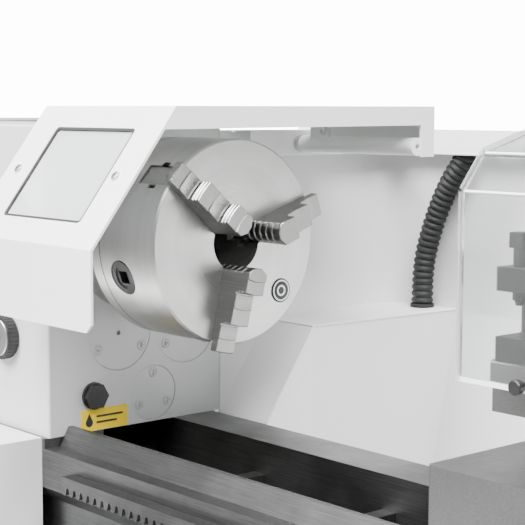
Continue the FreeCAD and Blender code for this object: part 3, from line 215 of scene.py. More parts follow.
def enamel(name, colour, shade, roughness=0.38, peel=0.10, coat=0.15):
    """Sprayed paint: faint orange peel, slow drift of tone and a few rubbed patches."""
    material, tree, shader = new_material(name)
    vector = object_coords(tree)
    drift = spread(tree, noise(tree, vector, 5.0, 5.0), 0.0, 1.0)
    tree.links.new(blend_colours(tree, drift, colour, shade), shader.inputs["Base Color"])
    rubbed = spread(tree, noise(tree, vector, 22.0, 6.0, 0.65), roughness - 0.06, roughness + 0.10)
    tree.links.new(rubbed, shader.inputs["Roughness"])
    bump(tree, shader, noise(tree, vector, 900.0, 2.0), peel, 0.0004)
    shader.inputs["Coat Weight"].default_value = coat
    shader.inputs["Coat Roughness"].default_value = 0.22
    return material


def brushed(name, colour, shade, direction, roughness=0.3, fine=1400.0, strength=0.12):
    """Ground metal: fine lines that run along one axis."""
    material, tree, shader = new_material(name)
    scale = [fine] * 3
    scale["xyz".index(direction)] = fine / 60
    lines = noise(tree, object_coords(tree, scale), 1.0, 3.0, 0.6)
    stain = noise(tree, object_coords(tree), 14.0, 6.0, 0.6)
    tone = spread(tree, plus(tree, lines, stain), 0.0, 1.0, 0.75, 1.25)
    tree.links.new(blend_colours(tree, tone, colour, shade), shader.inputs["Base Color"])
    tree.links.new(spread(tree, stain, roughness - 0.05, roughness + 0.12), shader.inputs["Roughness"])
    shader.inputs["Metallic"].default_value = 1.0
    bump(tree, shader, lines, strength, 0.00015)
    return material


def turned(name, colour, shade, centre, roughness=0.28, pitch=0.0006, strength=0.15):
    """Lathe-turned metal: rings about an axis along X through a centre, on faces and round bodies alike."""
    material, tree, shader = new_material(name)
    coords = add(tree, "ShaderNodeTexCoord")
    split = add(tree, "ShaderNodeSeparateXYZ")
    tree.links.new(coords.outputs["Object"], split.inputs[0])
    offsets = []
    for axis in (1, 2):
        away = add(tree, "ShaderNodeMath", operation="SUBTRACT")
        away.inputs[1].default_value = centre[axis]
        tree.links.new(split.outputs[axis], away.inputs[0])
        square = add(tree, "ShaderNodeMath", operation="POWER")
        square.inputs[1].default_value = 2.0
        tree.links.new(away.outputs[0], square.inputs[0])
        offsets.append(square.outputs[0])
    radius = add(tree, "ShaderNodeMath", operation="SQRT")
    tree.links.new(plus(tree, *offsets), radius.inputs[0])
    ring_vector = add(tree, "ShaderNodeCombineXYZ")
    tree.links.new(radius.outputs[0], ring_vector.inputs[0])
    tree.links.new(split.outputs[0], ring_vector.inputs[1])
    rings = noise(tree, ring_vector.outputs[0], 1.0 / pitch, 3.0, 0.6)
    bands = noise(tree, ring_vector.outputs[0], 90.0, 3.0, 0.6)
    stain = noise(tree, coords.outputs["Object"], 18.0, 6.0, 0.6)
    tone = spread(tree, plus(tree, bands, stain), 0.0, 1.0, 0.8, 1.2)
    tree.links.new(blend_colours(tree, tone, colour, shade), shader.inputs["Base Color"])
    rough = spread(tree, plus(tree, rings, stain), roughness - 0.06, roughness + 0.12, 0.75, 1.25)
    tree.links.new(rough, shader.inputs["Roughness"])
    shader.inputs["Metallic"].default_value = 1.0
    bump(tree, shader, rings, strength, 0.0002)
    return material


def moulded(name, colour, shade, roughness=0.45, grain=700.0, strength=0.25, metallic=0.0):
    """Moulded plastic, rubber or blackened steel with a fine grain."""
    material, tree, shader = new_material(name)
    vector = object_coords(tree)
    patch = spread(tree, noise(tree, vector, 40.0, 5.0), 0.0, 1.0)
    tree.links.new(blend_colours(tree, patch, colour, shade), shader.inputs["Base Color"])
    worn = spread(tree, noise(tree, vector, 60.0, 5.0), roughness - 0.08, roughness + 0.12)
    tree.links.new(worn, shader.inputs["Roughness"])
    shader.inputs["Metallic"].default_value = metallic
    bump(tree, shader, noise(tree, vector, grain, 2.0), strength, 0.0003)
    return material


def clear(name, colour, roughness, weight, alpha=1.0):
    """Clear sheet with faint scratches and haze."""
    material, tree, shader = new_material(name)
    vector = object_coords(tree)
    haze = spread(tree, noise(tree, vector, 30.0, 6.0), roughness, roughness + 0.08)
    tree.links.new(haze, shader.inputs["Roughness"])
    tint = spread(tree, noise(tree, vector, 8.0, 4.0), 0.0, 1.0)
    paler = tuple(min(1.0, c * 1.04) for c in colour)
    tree.links.new(blend_colours(tree, tint, colour, paler), shader.inputs["Base Color"])
    shader.inputs["Transmission Weight"].default_value = weight
    shader.inputs["IOR"].default_value = 1.35
    shader.inputs["Alpha"].default_value = alpha
    bump(tree, shader, noise(tree, object_coords(tree, (300, 900, 900)), 1.0, 3.0), 0.03, 0.0002)
    return material


MATERIALS = {
    "guard_white": enamel("guard_white", (0.86, 0.87, 0.86), (0.80, 0.81, 0.80)),
    "head_paint": enamel("head_paint", (0.62, 0.63, 0.625), (0.58, 0.59, 0.585)),
    "splash_paint": enamel("splash_paint", (0.82, 0.83, 0.82), (0.785, 0.795, 0.788)),
    "stand_paint": enamel("stand_paint", (0.36, 0.38, 0.39), (0.30, 0.32, 0.33), 0.45, 0.2),
    "bed_iron": brushed("bed_iron", (0.22, 0.22, 0.22), (0.12, 0.12, 0.12), "x", 0.34),
    "slide_iron": brushed("slide_iron", (0.30, 0.30, 0.30), (0.20, 0.20, 0.20), "y", 0.36),
    "post_black": moulded("post_black", (0.030, 0.030, 0.030), (0.018, 0.018, 0.018), 0.42, 800, 0.2, 0.3),
    "chuck_steel": turned(
        "chuck_steel", (0.56, 0.56, 0.55), (0.50, 0.50, 0.493), SPINDLE, 0.32, 0.0004, 0.05
    ),
    "zinc": brushed("zinc", (0.72, 0.73, 0.73), (0.62, 0.63, 0.63), "y", 0.34, 900, 0.04),
    # Near-black for the chuck's joint: painted shade.
    "chuck_joint_shade": moulded("chuck_joint_shade", (0.05, 0.05, 0.05), (0.03, 0.03, 0.03), 0.5),
    "spindle_steel": turned("spindle_steel", (0.42, 0.42, 0.41), (0.3, 0.3, 0.3), SPINDLE, 0.32),
    "jaw_steel": brushed("jaw_steel", (0.36, 0.36, 0.355), (0.25, 0.25, 0.245), "x", 0.28),
    "gear_steel": brushed("gear_steel", (0.34, 0.33, 0.31), (0.22, 0.21, 0.2), "x", 0.35),
    "bright_steel": brushed("bright_steel", (0.66, 0.66, 0.66), (0.5, 0.5, 0.5), "x", 0.2),
    "chrome": brushed("chrome", (0.74, 0.75, 0.76), (0.62, 0.63, 0.64), "y", 0.10, 900, 0.02),
    "black_plastic": moulded("black_plastic", (0.022, 0.022, 0.022), (0.012, 0.012, 0.012)),
    "rubber": moulded("rubber", (0.03, 0.03, 0.03), (0.018, 0.018, 0.018), 0.7),
    "hose_black": moulded("hose_black", (0.006, 0.006, 0.007), (0.010, 0.010, 0.011), 0.6),
    "red_plastic": moulded("red_plastic", (0.55, 0.02, 0.015), (0.4, 0.015, 0.01), 0.3, 900, 0.05),
    "green_plastic": moulded("green_plastic", (0.02, 0.3, 0.06), (0.015, 0.22, 0.04), 0.3, 900, 0.05),
    "label_yellow": enamel("label_yellow", (1.0, 0.70, 0.0), (0.96, 0.66, 0.0), 0.45, 0.02, 0.0),
    "window": clear("window", (0.86, 0.88, 0.88), 0.10, 0.55),
    "polycarbonate": clear("polycarbonate", (0.95, 0.97, 0.97), 0.02, 0.97),
    # Painted highlight: opaque bright white standing in for light caught on the clear sheet's bottom edge
    # and folds.
    "painted_edge_highlight": enamel("painted_edge_highlight", (0.97, 0.98, 0.98), (0.92, 0.94, 0.94), 0.2, 0.02, 0.4),
    "sheet_side": clear("sheet_side", (0.97, 0.99, 0.99), 0.12, 0.85, 0.45),
}

FINISHES = {
    "guard_white": ("chuck_guard", "feed_gearbox"),
    "head_paint": (
        "headstock_casing", "headstock_top_cover", "shaft_covers", "end_cover",
        "apron", "tailstock_body", "cover_screws",
    ),
    "splash_paint": ("splash_guard",),
    "stand_paint": ("left_cabinet", "right_cabinet", "cabinet_door", "chip_tray", "motor", "brake_pedal"),
    "bed_iron": ("bed",),
    "slide_iron": ("saddle", "cross_slide", "compound_base", "top_slide"),
    "post_black": ("tool_post", "cutting_tool", "chuck_pinion"),
    "chuck_steel": ("chuck_body", "chuck_backplate"),
    "spindle_steel": ("spindle", "spindle_bearings", "scroll_plate"),
    "jaw_steel": ("jaw_1", "jaw_2", "jaw_3"),
    "gear_steel": (
        "spindle_gears", "intermediate_shaft", "input_shaft", "idler_gear", "feed_gear", "motor_pulley"
    ),
    "bright_steel": ("leadscrew", "feed_rod", "control_rod", "guard_rod", "quill"),
    "chrome": ("carriage_handwheel", "cross_handwheel", "top_slide_handwheel", "quill_handwheel"),
    "black_plastic": (
        "oil_filler_plug", "speed_lever", "feed_selector", "half_nut_lever", "tool_post_lever", "quill_lock"
    ),
    "rubber": ("drive_belt", "levelling_feet"),
    "hose_black": ("conduit",),
    "red_plastic": ("emergency_stop",),
    "green_plastic": ("start_button",),
    "window": ("guard_window",),
    "polycarbonate": ("tool_guard",),
}


def finish_cad_nodes():
    for finish, names in FINISHES.items():
        for name in names:
            slots = NODES[name].data.materials
            slots.clear()
            slots.append(MATERIALS[finish])


# ---------------------------------------------------------------- mesh helpers

def make_object(name, mesh_data, finish, body, smooth=True):
    piece = bpy.data.objects.new(name, mesh_data)
    bpy.context.scene.collection.objects.link(piece)
    mesh_data.materials.append(MATERIALS[finish])
    if smooth:
        for polygon in mesh_data.polygons:
            polygon.use_smooth = True
        mesh_data.set_sharp_from_angle(angle=math.radians(35))
    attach(piece, body)
    return piece


def from_bmesh(name, bm, finish, body, smooth=True):
    bmesh.ops.recalc_face_normals(bm, faces=bm.faces)
    mesh_data = bpy.data.meshes.new(name)
    bm.to_mesh(mesh_data)
    bm.free()
    return make_object(name, mesh_data, finish, body, smooth)


def frame_of(direction):
    """Two unit vectors square to a direction."""
    direction = Vector(direction).normalized()
    helper = Vector((0, 0, 1)) if abs(direction.z) < 0.9 else Vector((1, 0, 0))
    side = direction.cross(helper).normalized()
    return direction, side, direction.cross(side)


def circle(bm, centre, side, other, radius, count):
    """New vertices around a circle; the radius is in millimetres."""
    angles = [2 * math.pi * index / count for index in range(count)]
    return [
        bm.verts.new(centre + (side * math.cos(angle) + other * math.sin(angle)) * radius * MM)
        for angle in angles
    ]


def skin(bm, loops, closed=False):
    """Faces between loops of equally many vertices, and from the last loop to the first if closed."""
    following = loops[1:] + loops[:1] if closed else loops[1:]
    for low, high in zip(loops, following):
        for first in range(len(low)):
            second = (first + 1) % len(low)
            bm.faces.new((low[first], low[second], high[second], high[first]))


def cap(bm, loops):
    bm.faces.new(loops[0][::-1])
    bm.faces.new(loops[-1])


def revolve(bm, centre, direction, profile, segments=48):
    """A closed turned body; the profile is (distance along, radius) in millimetres, from axis to axis."""
    direction, side, other = frame_of(direction)
    loops = []
    for distance, radius in profile:
        base = Vector(centre) + direction * distance * MM
        if radius == 0:
            loops.append([bm.verts.new(base)])
        else:
            loops.append(circle(bm, base, side, other, radius, segments))
    for low, high in zip(loops, loops[1:]):
        for index in range(segments):
            after = (index + 1) % segments
            if len(low) == 1:
                bm.faces.new((low[0], high[index], high[after]))
            elif len(high) == 1:
                bm.faces.new((low[index], low[after], high[0]))
            else:
                bm.faces.new((low[index], low[after], high[after], high[index]))


def ring(bm, centre, direction, start, end, inner, outer, segments=56):
    """A closed square-edged ring about a direction, in millimetres."""
    direction, side, other = frame_of(direction)
    corners = ((start, inner), (start, outer), (end, outer), (end, inner))
    loops = [
        circle(bm, Vector(centre) + direction * distance * MM, side, other, radius, segments)
        for distance, radius in corners
    ]
    skin(bm, loops, closed=True)


def bead(bm, points, radius, around=8):
    """A thin round cord through places given in metres, closed at both ends."""
    loops = []
    for index, point in enumerate(points):
        before, after = points[max(index - 1, 0)], points[min(index + 1, len(points) - 1)]
        _, side, other = frame_of(after - before)
        loops.append(circle(bm, point, side, other, radius, around))
    skin(bm, loops)
    cap(bm, loops)


def border(bm, outer, inner, place, thickness):
    """A flat frame between two outlines with the same number of points."""
    loops = []
    for outline, height in ((outer, 0.0), (outer, thickness), (inner, thickness), (inner, 0.0)):
        loops.append([bm.verts.new(place(u, v, height)) for u, v in outline])
    skin(bm, loops, closed=True)


def plate(bm, outline, place, thickness):
    """A flat plate; the outline's points go through place(u, v, height)."""
    loops = [[bm.verts.new(place(u, v, height)) for u, v in outline] for height in (0.0, thickness)]
    cap(bm, loops)
    skin(bm, loops)


def rounded_outline(x0, x1, y0, y1, radius, steps=6):
    points = []
    for cx, cy, start in (
        (x1 - radius, y1 - radius, 0), (x0 + radius, y1 - radius, 90),
        (x0 + radius, y0 + radius, 180), (x1 - radius, y0 + radius, 270),
    ):
        for step in range(steps + 1):
            angle = math.radians(start + 90 * step / steps)
            points.append((cx + radius * math.cos(angle), cy + radius * math.sin(angle)))
    return points


def screw_head(name, centre, direction, radius, height, finish, body):
    """A pan head with a cross recess cut into its top."""
    bm = bmesh.new()
    dome = [(0, radius), (height * 0.45, radius), (height * 0.8, radius * 0.88), (height, radius * 0.6)]
    revolve(bm, centre, direction, [(0, 0)] + dome + [(height, 0)], 28)
    piece = from_bmesh(name, bm, finish, body)
    direction, side, other = frame_of(direction)
    reach, width = radius * 0.55, radius * 0.13
    bar = ((-reach, -width), (reach, -width), (reach, width), (-reach, width))
    cutter_mesh = bmesh.new()
    for first, second in ((side, other), (other, side)):
        def place(u, v, w, first=first, second=second):
            return Vector(centre) + (first * u + second * v + direction * (height * 0.45 + w)) * MM
        plate(cutter_mesh, bar, place, height)
    carve(piece, cutter_mesh)


def carve(piece, cutter_mesh):
    """Cut a shape out of a piece and apply the cut."""
    bmesh.ops.recalc_face_normals(cutter_mesh, faces=cutter_mesh.faces)
    data = bpy.data.meshes.new("cutter")
    cutter_mesh.to_mesh(data)
    cutter_mesh.free()
    cutter = bpy.data.objects.new("cutter", data)
    bpy.context.scene.collection.objects.link(cutter)
    modifier = piece.modifiers.new("cut", "BOOLEAN")
    modifier.operation = "DIFFERENCE"
    modifier.solver = "EXACT"
    modifier.use_self = True
    modifier.object = cutter
    bpy.context.view_layer.update()
    shown = piece.evaluated_get(bpy.context.evaluated_depsgraph_get())
    result = bpy.data.meshes.new_from_object(shown)
    piece.modifiers.clear()
    old = piece.data
    piece.data = result
    bpy.data.meshes.remove(old)
    bpy.data.objects.remove(cutter)


# ---------------------------------------------------------------- pieces

def smooth_route(points):
    """Points along a smooth spline through a route's corners."""
    curve = bpy.data.curves.new("route", "CURVE")
    curve.dimensions = "3D"
    spline = curve.splines.new("NURBS")
    spline.points.add(len(points) - 1)
    for target, point in zip(spline.points, points):
        target.co = (*spot(*point), 1)
    spline.order_u = 3
    spline.use_endpoint_u = True
    spline.resolution_u = 24
    holder = bpy.data.objects.new("route", curve)
    bpy.context.scene.collection.objects.link(holder)
    bpy.context.view_layer.update()
    line = bpy.data.meshes.new_from_object(holder)
    places = [vertex.co.copy() for vertex in line.vertices]
    bpy.data.objects.remove(holder)
    bpy.data.meshes.remove(line)
    return places


def make_conduit():
    """Corrugated hose: rounded ribs with narrow grooves along a smooth route, and the gland at its foot."""
    places = smooth_route(CONDUIT_ROUTE)
    lengths = [0.0]
    for first, second in zip(places, places[1:]):
        lengths.append(lengths[-1] + (second - first).length)
    bm = bmesh.new()
    steps_per_rib, around = 8, 40
    steps = int(lengths[-1] / (CONDUIT_PITCH * MM) * steps_per_rib)
    side, loops, index = Vector((0, 1, 0)), [], 0
    for step in range(steps + 1):
        distance = lengths[-1] * step / steps
        while index < len(places) - 2 and lengths[index + 1] < distance:
            index += 1
        share = (distance - lengths[index]) / (lengths[index + 1] - lengths[index])
        centre = places[index].lerp(places[index + 1], share)
        along = (places[index + 1] - places[index]).normalized()
        side = (side - along * side.dot(along)).normalized()
        phase = 2 * math.pi * step / steps_per_rib
        swell = (0.5 + 0.5 * math.cos(phase)) ** 0.55
        radius = CONDUIT_GROOVE + (CONDUIT_RADIUS - CONDUIT_GROOVE) * swell
        loops.append(circle(bm, centre, side, along.cross(side), radius, around))
    skin(bm, loops)
    cap(bm, loops)
    hose = from_bmesh("corrugated_hose", bm, "hose_black", "frame")
    hose.data.polygons.foreach_set("use_smooth", [True] * len(hose.data.polygons))
    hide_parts("conduit")
    bm = bmesh.new()
    gland = ((0, 0), (0, 11.6), (2.4, 11.6), (3.0, 11.0), (3.0, 0))
    revolve(bm, spot(*CONDUIT_ROUTE[0]), (0, 0, 1), gland, 40)
    from_bmesh("hose_gland", bm, "hose_black", "frame")


def shrink(outline, amount):
    """Move each corner of an outline inwards, along the middle of its two edges."""
    shrunk = []
    for before, here, after in zip(outline[-1:] + outline[:-1], outline, outline[1:] + outline[:1]):
        normals = []
        for first, second in ((before, here), (here, after)):
            dx, dr = second[0] - first[0], second[1] - first[1]
            length = math.hypot(dx, dr)
            normals.append((-dr / length, dx / length))
        nx, nr = normals[0][0] + normals[1][0], normals[0][1] + normals[1][1]
        size = max(math.hypot(nx, nr), 0.8)
        shrunk.append((here[0] + amount * nx / size, here[1] + amount * nr / size))
    return shrunk


def jaw_reach(x, radius, y):
    """Distance of a jaw's point from the spindle's axis: wedge-shaped nose, arc-shaped steps, flat base."""
    if radius < NOSE_END:
        return radius + max(0.0, abs(y) - NOSE_FLAT) * 4 / 6
    if x > 0:
        return math.sqrt(radius * radius - y * y)
    return radius


def make_jaws():
    """Stepped jaws: a grooved gripping nose, arc-shaped risers with grooves, and relieved treads."""
    outline = list(JAW_PROFILE)
    for x in NOSE_GROOVES:
        outline += [(x - 0.8, NOSE_RADIUS), (x, NOSE_RADIUS + 1), (x + 0.8, NOSE_RADIUS)]
    narrow = shrink(outline, JAW_CHAMFER)
    inner = JAW_HALF_WIDTH - JAW_CHAMFER
    for index in (1, 2, 3):
        out = Vector(JOINTS["jaw_%d_slide" % index]["axis"])
        across = Vector((1, 0, 0)).cross(out)
        bm = bmesh.new()
        slices = []
        for y in (-JAW_HALF_WIDTH, -inner, -6, -3, 0, 3, 6, inner, JAW_HALF_WIDTH):
            points = []
            for x, radius in (narrow if abs(y) == JAW_HALF_WIDTH else outline):
                offset = out * jaw_reach(x, radius, y) + across * y
                points.append(bm.verts.new(spot(x, 0, 0) + offset * MM))
            slices.append(points)
        skin(bm, slices)
        cap(bm, slices)
        for side in (-1, 1):
            def place(u, v, height, side=side):
                sideways = JAW_HALF_WIDTH - 0.1 + height
                return spot(u, 0, 0) + (out * v + across * side * sideways) * MM
            plate(bm, TONGUE, place, 3.4)
        piece = from_bmesh("stepped_jaw_%d" % index, bm, "jaw_steel", "jaw_%d" % index)
        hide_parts("jaw_%d" % index)


def make_chuck_details():
    """A plain round badge with rings on the chuck's face, and a black ring behind its body that paints the
    shade in the joint between body and backplate.
    """
    angle = math.radians(BADGE_ANGLE)
    centre = spot(0, BADGE_ARM * math.cos(angle), BADGE_ARM * math.sin(angle))
    rim = BADGE_RADIUS
    bm = bmesh.new()
    revolve(bm, centre, (1, 0, 0), ((0, 0), (0, rim), (0.6, rim), (0.8, rim - 0.3), (0.8, 0)), 56)
    from_bmesh("chuck_badge", bm, "black_plastic", "spindle")
    bm = bmesh.new()
    for inner, outer in ((7.4, 8.5), (3.0, 4.4)):
        ring(bm, centre, (1, 0, 0), 0.7, 1.0, inner, outer)
    from_bmesh("chuck_badge_rings", bm, "zinc", "spindle")
    # A black ring where the chuck body meets the backplate: painted shade of the groove between them.
    bm = bmesh.new()
    ring(bm, spot(CHUCK_JOINT_X, 0, 0), (1, 0, 0), 0, 1.1, CHUCK_RADIUS - 0.8, CHUCK_RADIUS + 0.05, 128)
    from_bmesh("chuck_joint_painted_shade", bm, "chuck_joint_shade", "spindle")


def make_key_socket():
    """The black ring about the chuck key's square socket."""
    out = Vector(JOINTS["chuck_pinion_turn"]["axis"])
    centre = spot(KEY_SOCKET_X, 0, 0) + out * KEY_SOCKET_ARM * MM
    bm = bmesh.new()
    ring(bm, centre, out, 0, 4.0, 8.2, 14.1)
    ring(bm, centre, out, 3.9, 4.5, 9.2, 13.4)
    from_bmesh("key_socket_ring", bm, "black_plastic", "chuck_pinion")


def slope_place(x, up, height):
    """A place on the guard's sloped panel: millimetres along X, up the slope, and out from it."""
    (y0, z0), (y1, z1) = GUARD_BEND, GUARD_CORNER
    length = math.hypot(y1 - y0, z1 - z0)
    dy, dz = (y1 - y0) / length, (z1 - z0) / length
    return spot(x, y0 + dy * up - dz * height, z0 + dz * up + dy * height)


def make_guard_details():
    """Screws and the window's dark rubber gasket on the sloped panel, which also paints the shade along the
    recessed pane's edges, and the screw of the hinge bracket.
    """
    normal = (slope_place(0, 0, 1) - slope_place(0, 0, 0)).normalized()
    for index, (x, up) in enumerate(GUARD_SCREWS):
        name = "guard_screw_%d" % (index + 1)
        screw_head(name, slope_place(x, up, 0), normal, 3.7, 2.0, "zinc", "chuck_guard")

    def sunk(u, v, height):
        return slope_place(u, v, height - GASKET_DEPTH)
    x0, x1, up0, up1 = WINDOW_HOLE
    width = GASKET_WIDTH
    outer = rounded_outline(x0, x1, up0, up1, 3.4)
    inner = rounded_outline(x0 + width, x1 - width, up0 + width, up1 - width, 2.4)
    # Dark rubber lining sunk in the window opening: a gasket, and painted shade along the recessed pane's
    # top and left edges.
    bm = bmesh.new()
    border(bm, outer, inner, sunk, 1.6)
    from_bmesh("window_gasket_and_shade", bm, "rubber", "chuck_guard")
    screw_head("hinge_screw", spot(*HINGE_SCREW), (0, -1, 0), 3.6, 2.4, "zinc", "chuck_guard")


def make_splash_details():
    """The hemmed edge of the top channel and the rounded edges of the wedge-shaped deflector."""
    (x, y), radius = HEM_CORNER, HEM_RADIUS
    path = [spot(x, HEM_FRONT_Y, HEM_LEVEL)]
    for step in range(9):
        angle = math.radians(180 - 90 * step / 8)
        along, back = x + radius + radius * math.cos(angle), y - radius + radius * math.sin(angle)
        path.append(spot(along, back, HEM_LEVEL))
    path.append(spot(HEM_END_X, y, HEM_LEVEL))
    bm = bmesh.new()
    bead(bm, path, 1.3)
    from_bmesh("channel_hem", bm, "guard_white", "frame")
    bm = bmesh.new()
    for edge_radius, places in WEDGE_EDGES:
        bead(bm, [spot(*place) for place in places], edge_radius)
    from_bmesh("deflector_edges", bm, "splash_paint", "frame")


def make_oil_label():
    """A yellow plate with a drop and two bars in place of lettering."""
    def place(u, v, height):
        return spot(HEAD_FACE_X + 0.05 + height, u, v)

    def raised(u, v, height):
        return place(u, v, height + LABEL_THICKNESS)
    bm = bmesh.new()
    plate(bm, rounded_outline(*LABEL, 1.2), place, LABEL_THICKNESS)
    from_bmesh("oil_label", bm, "label_yellow", "frame", False)
    bm = bmesh.new()
    (y, z), radius = DROP_CENTRE, DROP_RADIUS
    arc = [math.radians(angle) for angle in range(150, 391, 16)]
    drop = [(y + radius * math.cos(angle), z + radius * math.sin(angle)) for angle in arc]
    plate(bm, drop + [(y, DROP_TIP_Z)], raised, MARK_THICKNESS)
    for level, width in LABEL_BARS:
        bar = rounded_outline(BARS_START, BARS_START + width, level - 0.9, level + 0.9, 0.8, 3)
        plate(bm, bar, raised, MARK_THICKNESS)
    from_bmesh("oil_label_marks", bm, "black_plastic", "frame", False)


def make_dial():
    """The ground face, knurled rim and set screw of the speed lever's hub."""
    x, _, z = (Vector(JOINTS["speed_lever_turn"]["pos_m"]) - SPINDLE) / MM
    face, rim = HUB_FACE_RADIUS, HUB_RADIUS
    bm = bmesh.new()
    disc = ((0, 0), (0, face), (0.8, face - 0.4), (0.8, 0))
    revolve(bm, spot(x, HEAD_FRONT_Y - HUB_DEPTH, z), (0, -1, 0), disc, 56)
    from_bmesh("speed_lever_face", bm, "zinc", "speed_lever")
    bm = bmesh.new()
    for index in range(36):
        angle = 2 * math.pi * index / 36
        foot = spot(x + rim * math.cos(angle), HEAD_FRONT_Y - 2, z + rim * math.sin(angle))
        bead(bm, [foot, foot + Vector((0, -7.4, 0)) * MM], 0.8, 6)
    from_bmesh("speed_lever_knurl", bm, "black_plastic", "speed_lever")
    screw_head(
        "speed_lever_screw", spot(x, HEAD_FRONT_Y - HUB_DEPTH - 0.8, z), (0, -1, 0), 4.0, 1.8,
        "black_plastic", "speed_lever",
    )


def make_tool_guard_details():
    """The clear sheet's sides, painted highlights in bright white along its bottom edge and folds, and its
    black knob.
    """
    low, high = corner("tool_guard", 0), corner("tool_guard", 1)
    profile = ((TOOL_GUARD_BENDS[0][0], low.z), *TOOL_GUARD_BENDS, TOOL_GUARD_TOP)
    bm = bmesh.new()
    for (y0, z0), (y1, z1) in zip(profile, profile[1:]):
        length = math.hypot(y1 - y0, z1 - z0)
        ny, nz = (z1 - z0) / length, -(y1 - y0) / length

        def place(u, v, height):
            depth = height - TOOL_GUARD_THICKNESS + 0.1
            return spot(u, y0 + (y1 - y0) * v + ny * depth, z0 + (z1 - z0) * v + nz * depth)
        left, right = low.x - 0.1, low.x + 1.4
        plate(bm, ((left, 0), (right, 0), (right, 1), (left, 1)), place, TOOL_GUARD_THICKNESS)
    from_bmesh("tool_guard_sides", bm, "sheet_side", "tool_guard", False)
    # Bright white strip along the sheet's bottom edge: a painted highlight.
    bm = bmesh.new()

    def bottom(u, v, height):
        return spot(u, profile[0][0] - 0.1 + height, low.z - 0.1 + v)
    strip = ((low.x, 0), (high.x, 0), (high.x, 2.8), (low.x, 2.8))
    plate(bm, strip, bottom, TOOL_GUARD_THICKNESS)
    from_bmesh("tool_guard_edge_highlight", bm, "painted_edge_highlight", "tool_guard", False)
    # Bright white beads along the folds: painted highlights.
    bm = bmesh.new()
    for y, z in TOOL_GUARD_BENDS:
        bead(bm, [spot(low.x + 1, y + 0.8, z), spot(high.x - 1, y + 0.8, z)], 0.9)
    from_bmesh("tool_guard_fold_highlights", bm, "painted_edge_highlight", "tool_guard")
    bm = bmesh.new()
    knob = ((0, 0), (0, 2.6), (2.5, 2.6), (3.0, 3.8), (6.6, 4.0), (7.4, 3.4), (7.4, 0))
    revolve(bm, spot(*TOOL_GUARD_KNOB), (0, -1, 0), knob, 28)
    from_bmesh("tool_guard_knob", bm, "black_plastic", "tool_guard")


def make_leadscrew():
    """The leadscrew with its square thread cut as a true helix."""
    low, high = corner("leadscrew", 0), corner("leadscrew", 1)
    y, z = (low.y + high.y) / 2, (low.z + high.z) / 2
    around = 18
    bm = bmesh.new()
    loops = []
    count = int(high.x - low.x)
    for step in range(count + 1):
        x = low.x + (high.x - low.x) * step / count
        loop = []
        for turn in range(around):
            angle = 2 * math.pi * turn / around
            phase = (x / LEADSCREW_PITCH - turn / around) % 1.0
            threaded = THREAD_START < x < THREAD_END and phase < 0.5
            radius = LEADSCREW_CREST if threaded else LEADSCREW_CORE
            loop.append(bm.verts.new(spot(x, y + radius * math.cos(angle), z + radius * math.sin(angle))))
        loops.append(loop)
    skin(bm, loops)
    cap(bm, loops)
    piece = from_bmesh("threaded_leadscrew", bm, "bright_steel", "leadscrew")
    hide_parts("leadscrew")


def make_motor_details():
    """Cooling fins, and black rings that paint the shade of the fan cover's slots."""
    _, y, z = (Vector(JOINTS["motor_spin"]["pos_m"]) - SPINDLE) / MM
    bm = bmesh.new()
    for index in range(MOTOR_FINS):
        angle = 2 * math.pi * index / MOTOR_FINS
        out = Vector((0, math.cos(angle), math.sin(angle)))
        across = Vector((0, -math.sin(angle), math.cos(angle)))

        def place(u, v, height):
            return spot(u, y, z) + (out * v + across * (height - FIN_THICKNESS / 2)) * MM
        plate(bm, FIN_OUTLINE, place, FIN_THICKNESS)
    from_bmesh("motor_fins", bm, "stand_paint", "frame")
    # Black rings in place of the fan cover's slots: painted shade of the openings.
    bm = bmesh.new()
    for radius in FAN_SLOTS:
        ring(bm, spot(FAN_COVER_X, y, z), (1, 0, 0), -0.3, 0.25, radius, radius + FAN_SLOT_WIDTH)
    from_bmesh("fan_cover_slot_shade", bm, "black_plastic", "frame")


def make_panel_details():
    """Blank plates with plain rules on the headstock and gearbox, and a sight glass."""
    gear_front = corner("feed_gearbox", 0).y

    def on_head(u, v, height):
        return spot(u, HEAD_FRONT_Y - height, v)

    def on_gearbox(u, v, height):
        return spot(u, gear_front - height, v)

    def rule(left, right, level, place):
        def raised(u, v, height):
            return place(u, v, height + PLATE_THICKNESS)
        plate(bm, rounded_outline(left, right, level - 1, level + 1, 0.9, 3), raised, 0.1)
    bm = bmesh.new()
    plate(bm, rounded_outline(*HEAD_PLATE, 4), on_head, PLATE_THICKNESS)
    for limits in GEARBOX_PLATES:
        plate(bm, rounded_outline(*limits, 4), on_gearbox, PLATE_THICKNESS)
    from_bmesh("blank_plates", bm, "zinc", "frame")
    bm = bmesh.new()
    for row in range(RULES_PER_PLATE):
        rule(-294, -221, 26 - 14 * row, on_head)
        for left in (-264, -504):
            rule(left, left + 98, -208 - 16 * row, on_gearbox)
    from_bmesh("plate_rules", bm, "black_plastic", "frame", False)
    bm = bmesh.new()
    ring(bm, spot(*SIGHT_GLASS), (0, -1, 0), -0.2, 3.0, 9, 13)
    revolve(bm, spot(*SIGHT_GLASS), (0, -1, 0), ((0, 0), (0, 9), (1.0, 9), (1.6, 6), (1.8, 0)), 40)
    from_bmesh("sight_glass", bm, "zinc", "frame")


def make_cabinet_vents():
    """Rows of pressed louvres on the right cabinet's front."""
    low, high = corner("right_cabinet", 0), corner("right_cabinet", 1)
    middle = (low.x + high.x) / 2
    bm = bmesh.new()
    for row in range(LOUVRES):
        z = high.z - 110 - LOUVRE_STEP * row

        def place(u, v, height, z=z):
            return spot(middle + u, low.y - height * (0.5 - v / 12.0), z + v)
        plate(bm, rounded_outline(-LOUVRE_HALF, LOUVRE_HALF, -4, 4, 3.8), place, 4.0)
    from_bmesh("cabinet_louvres", bm, "stand_paint", "frame")


# ---------------------------------------------------------------- floor, lights and camera

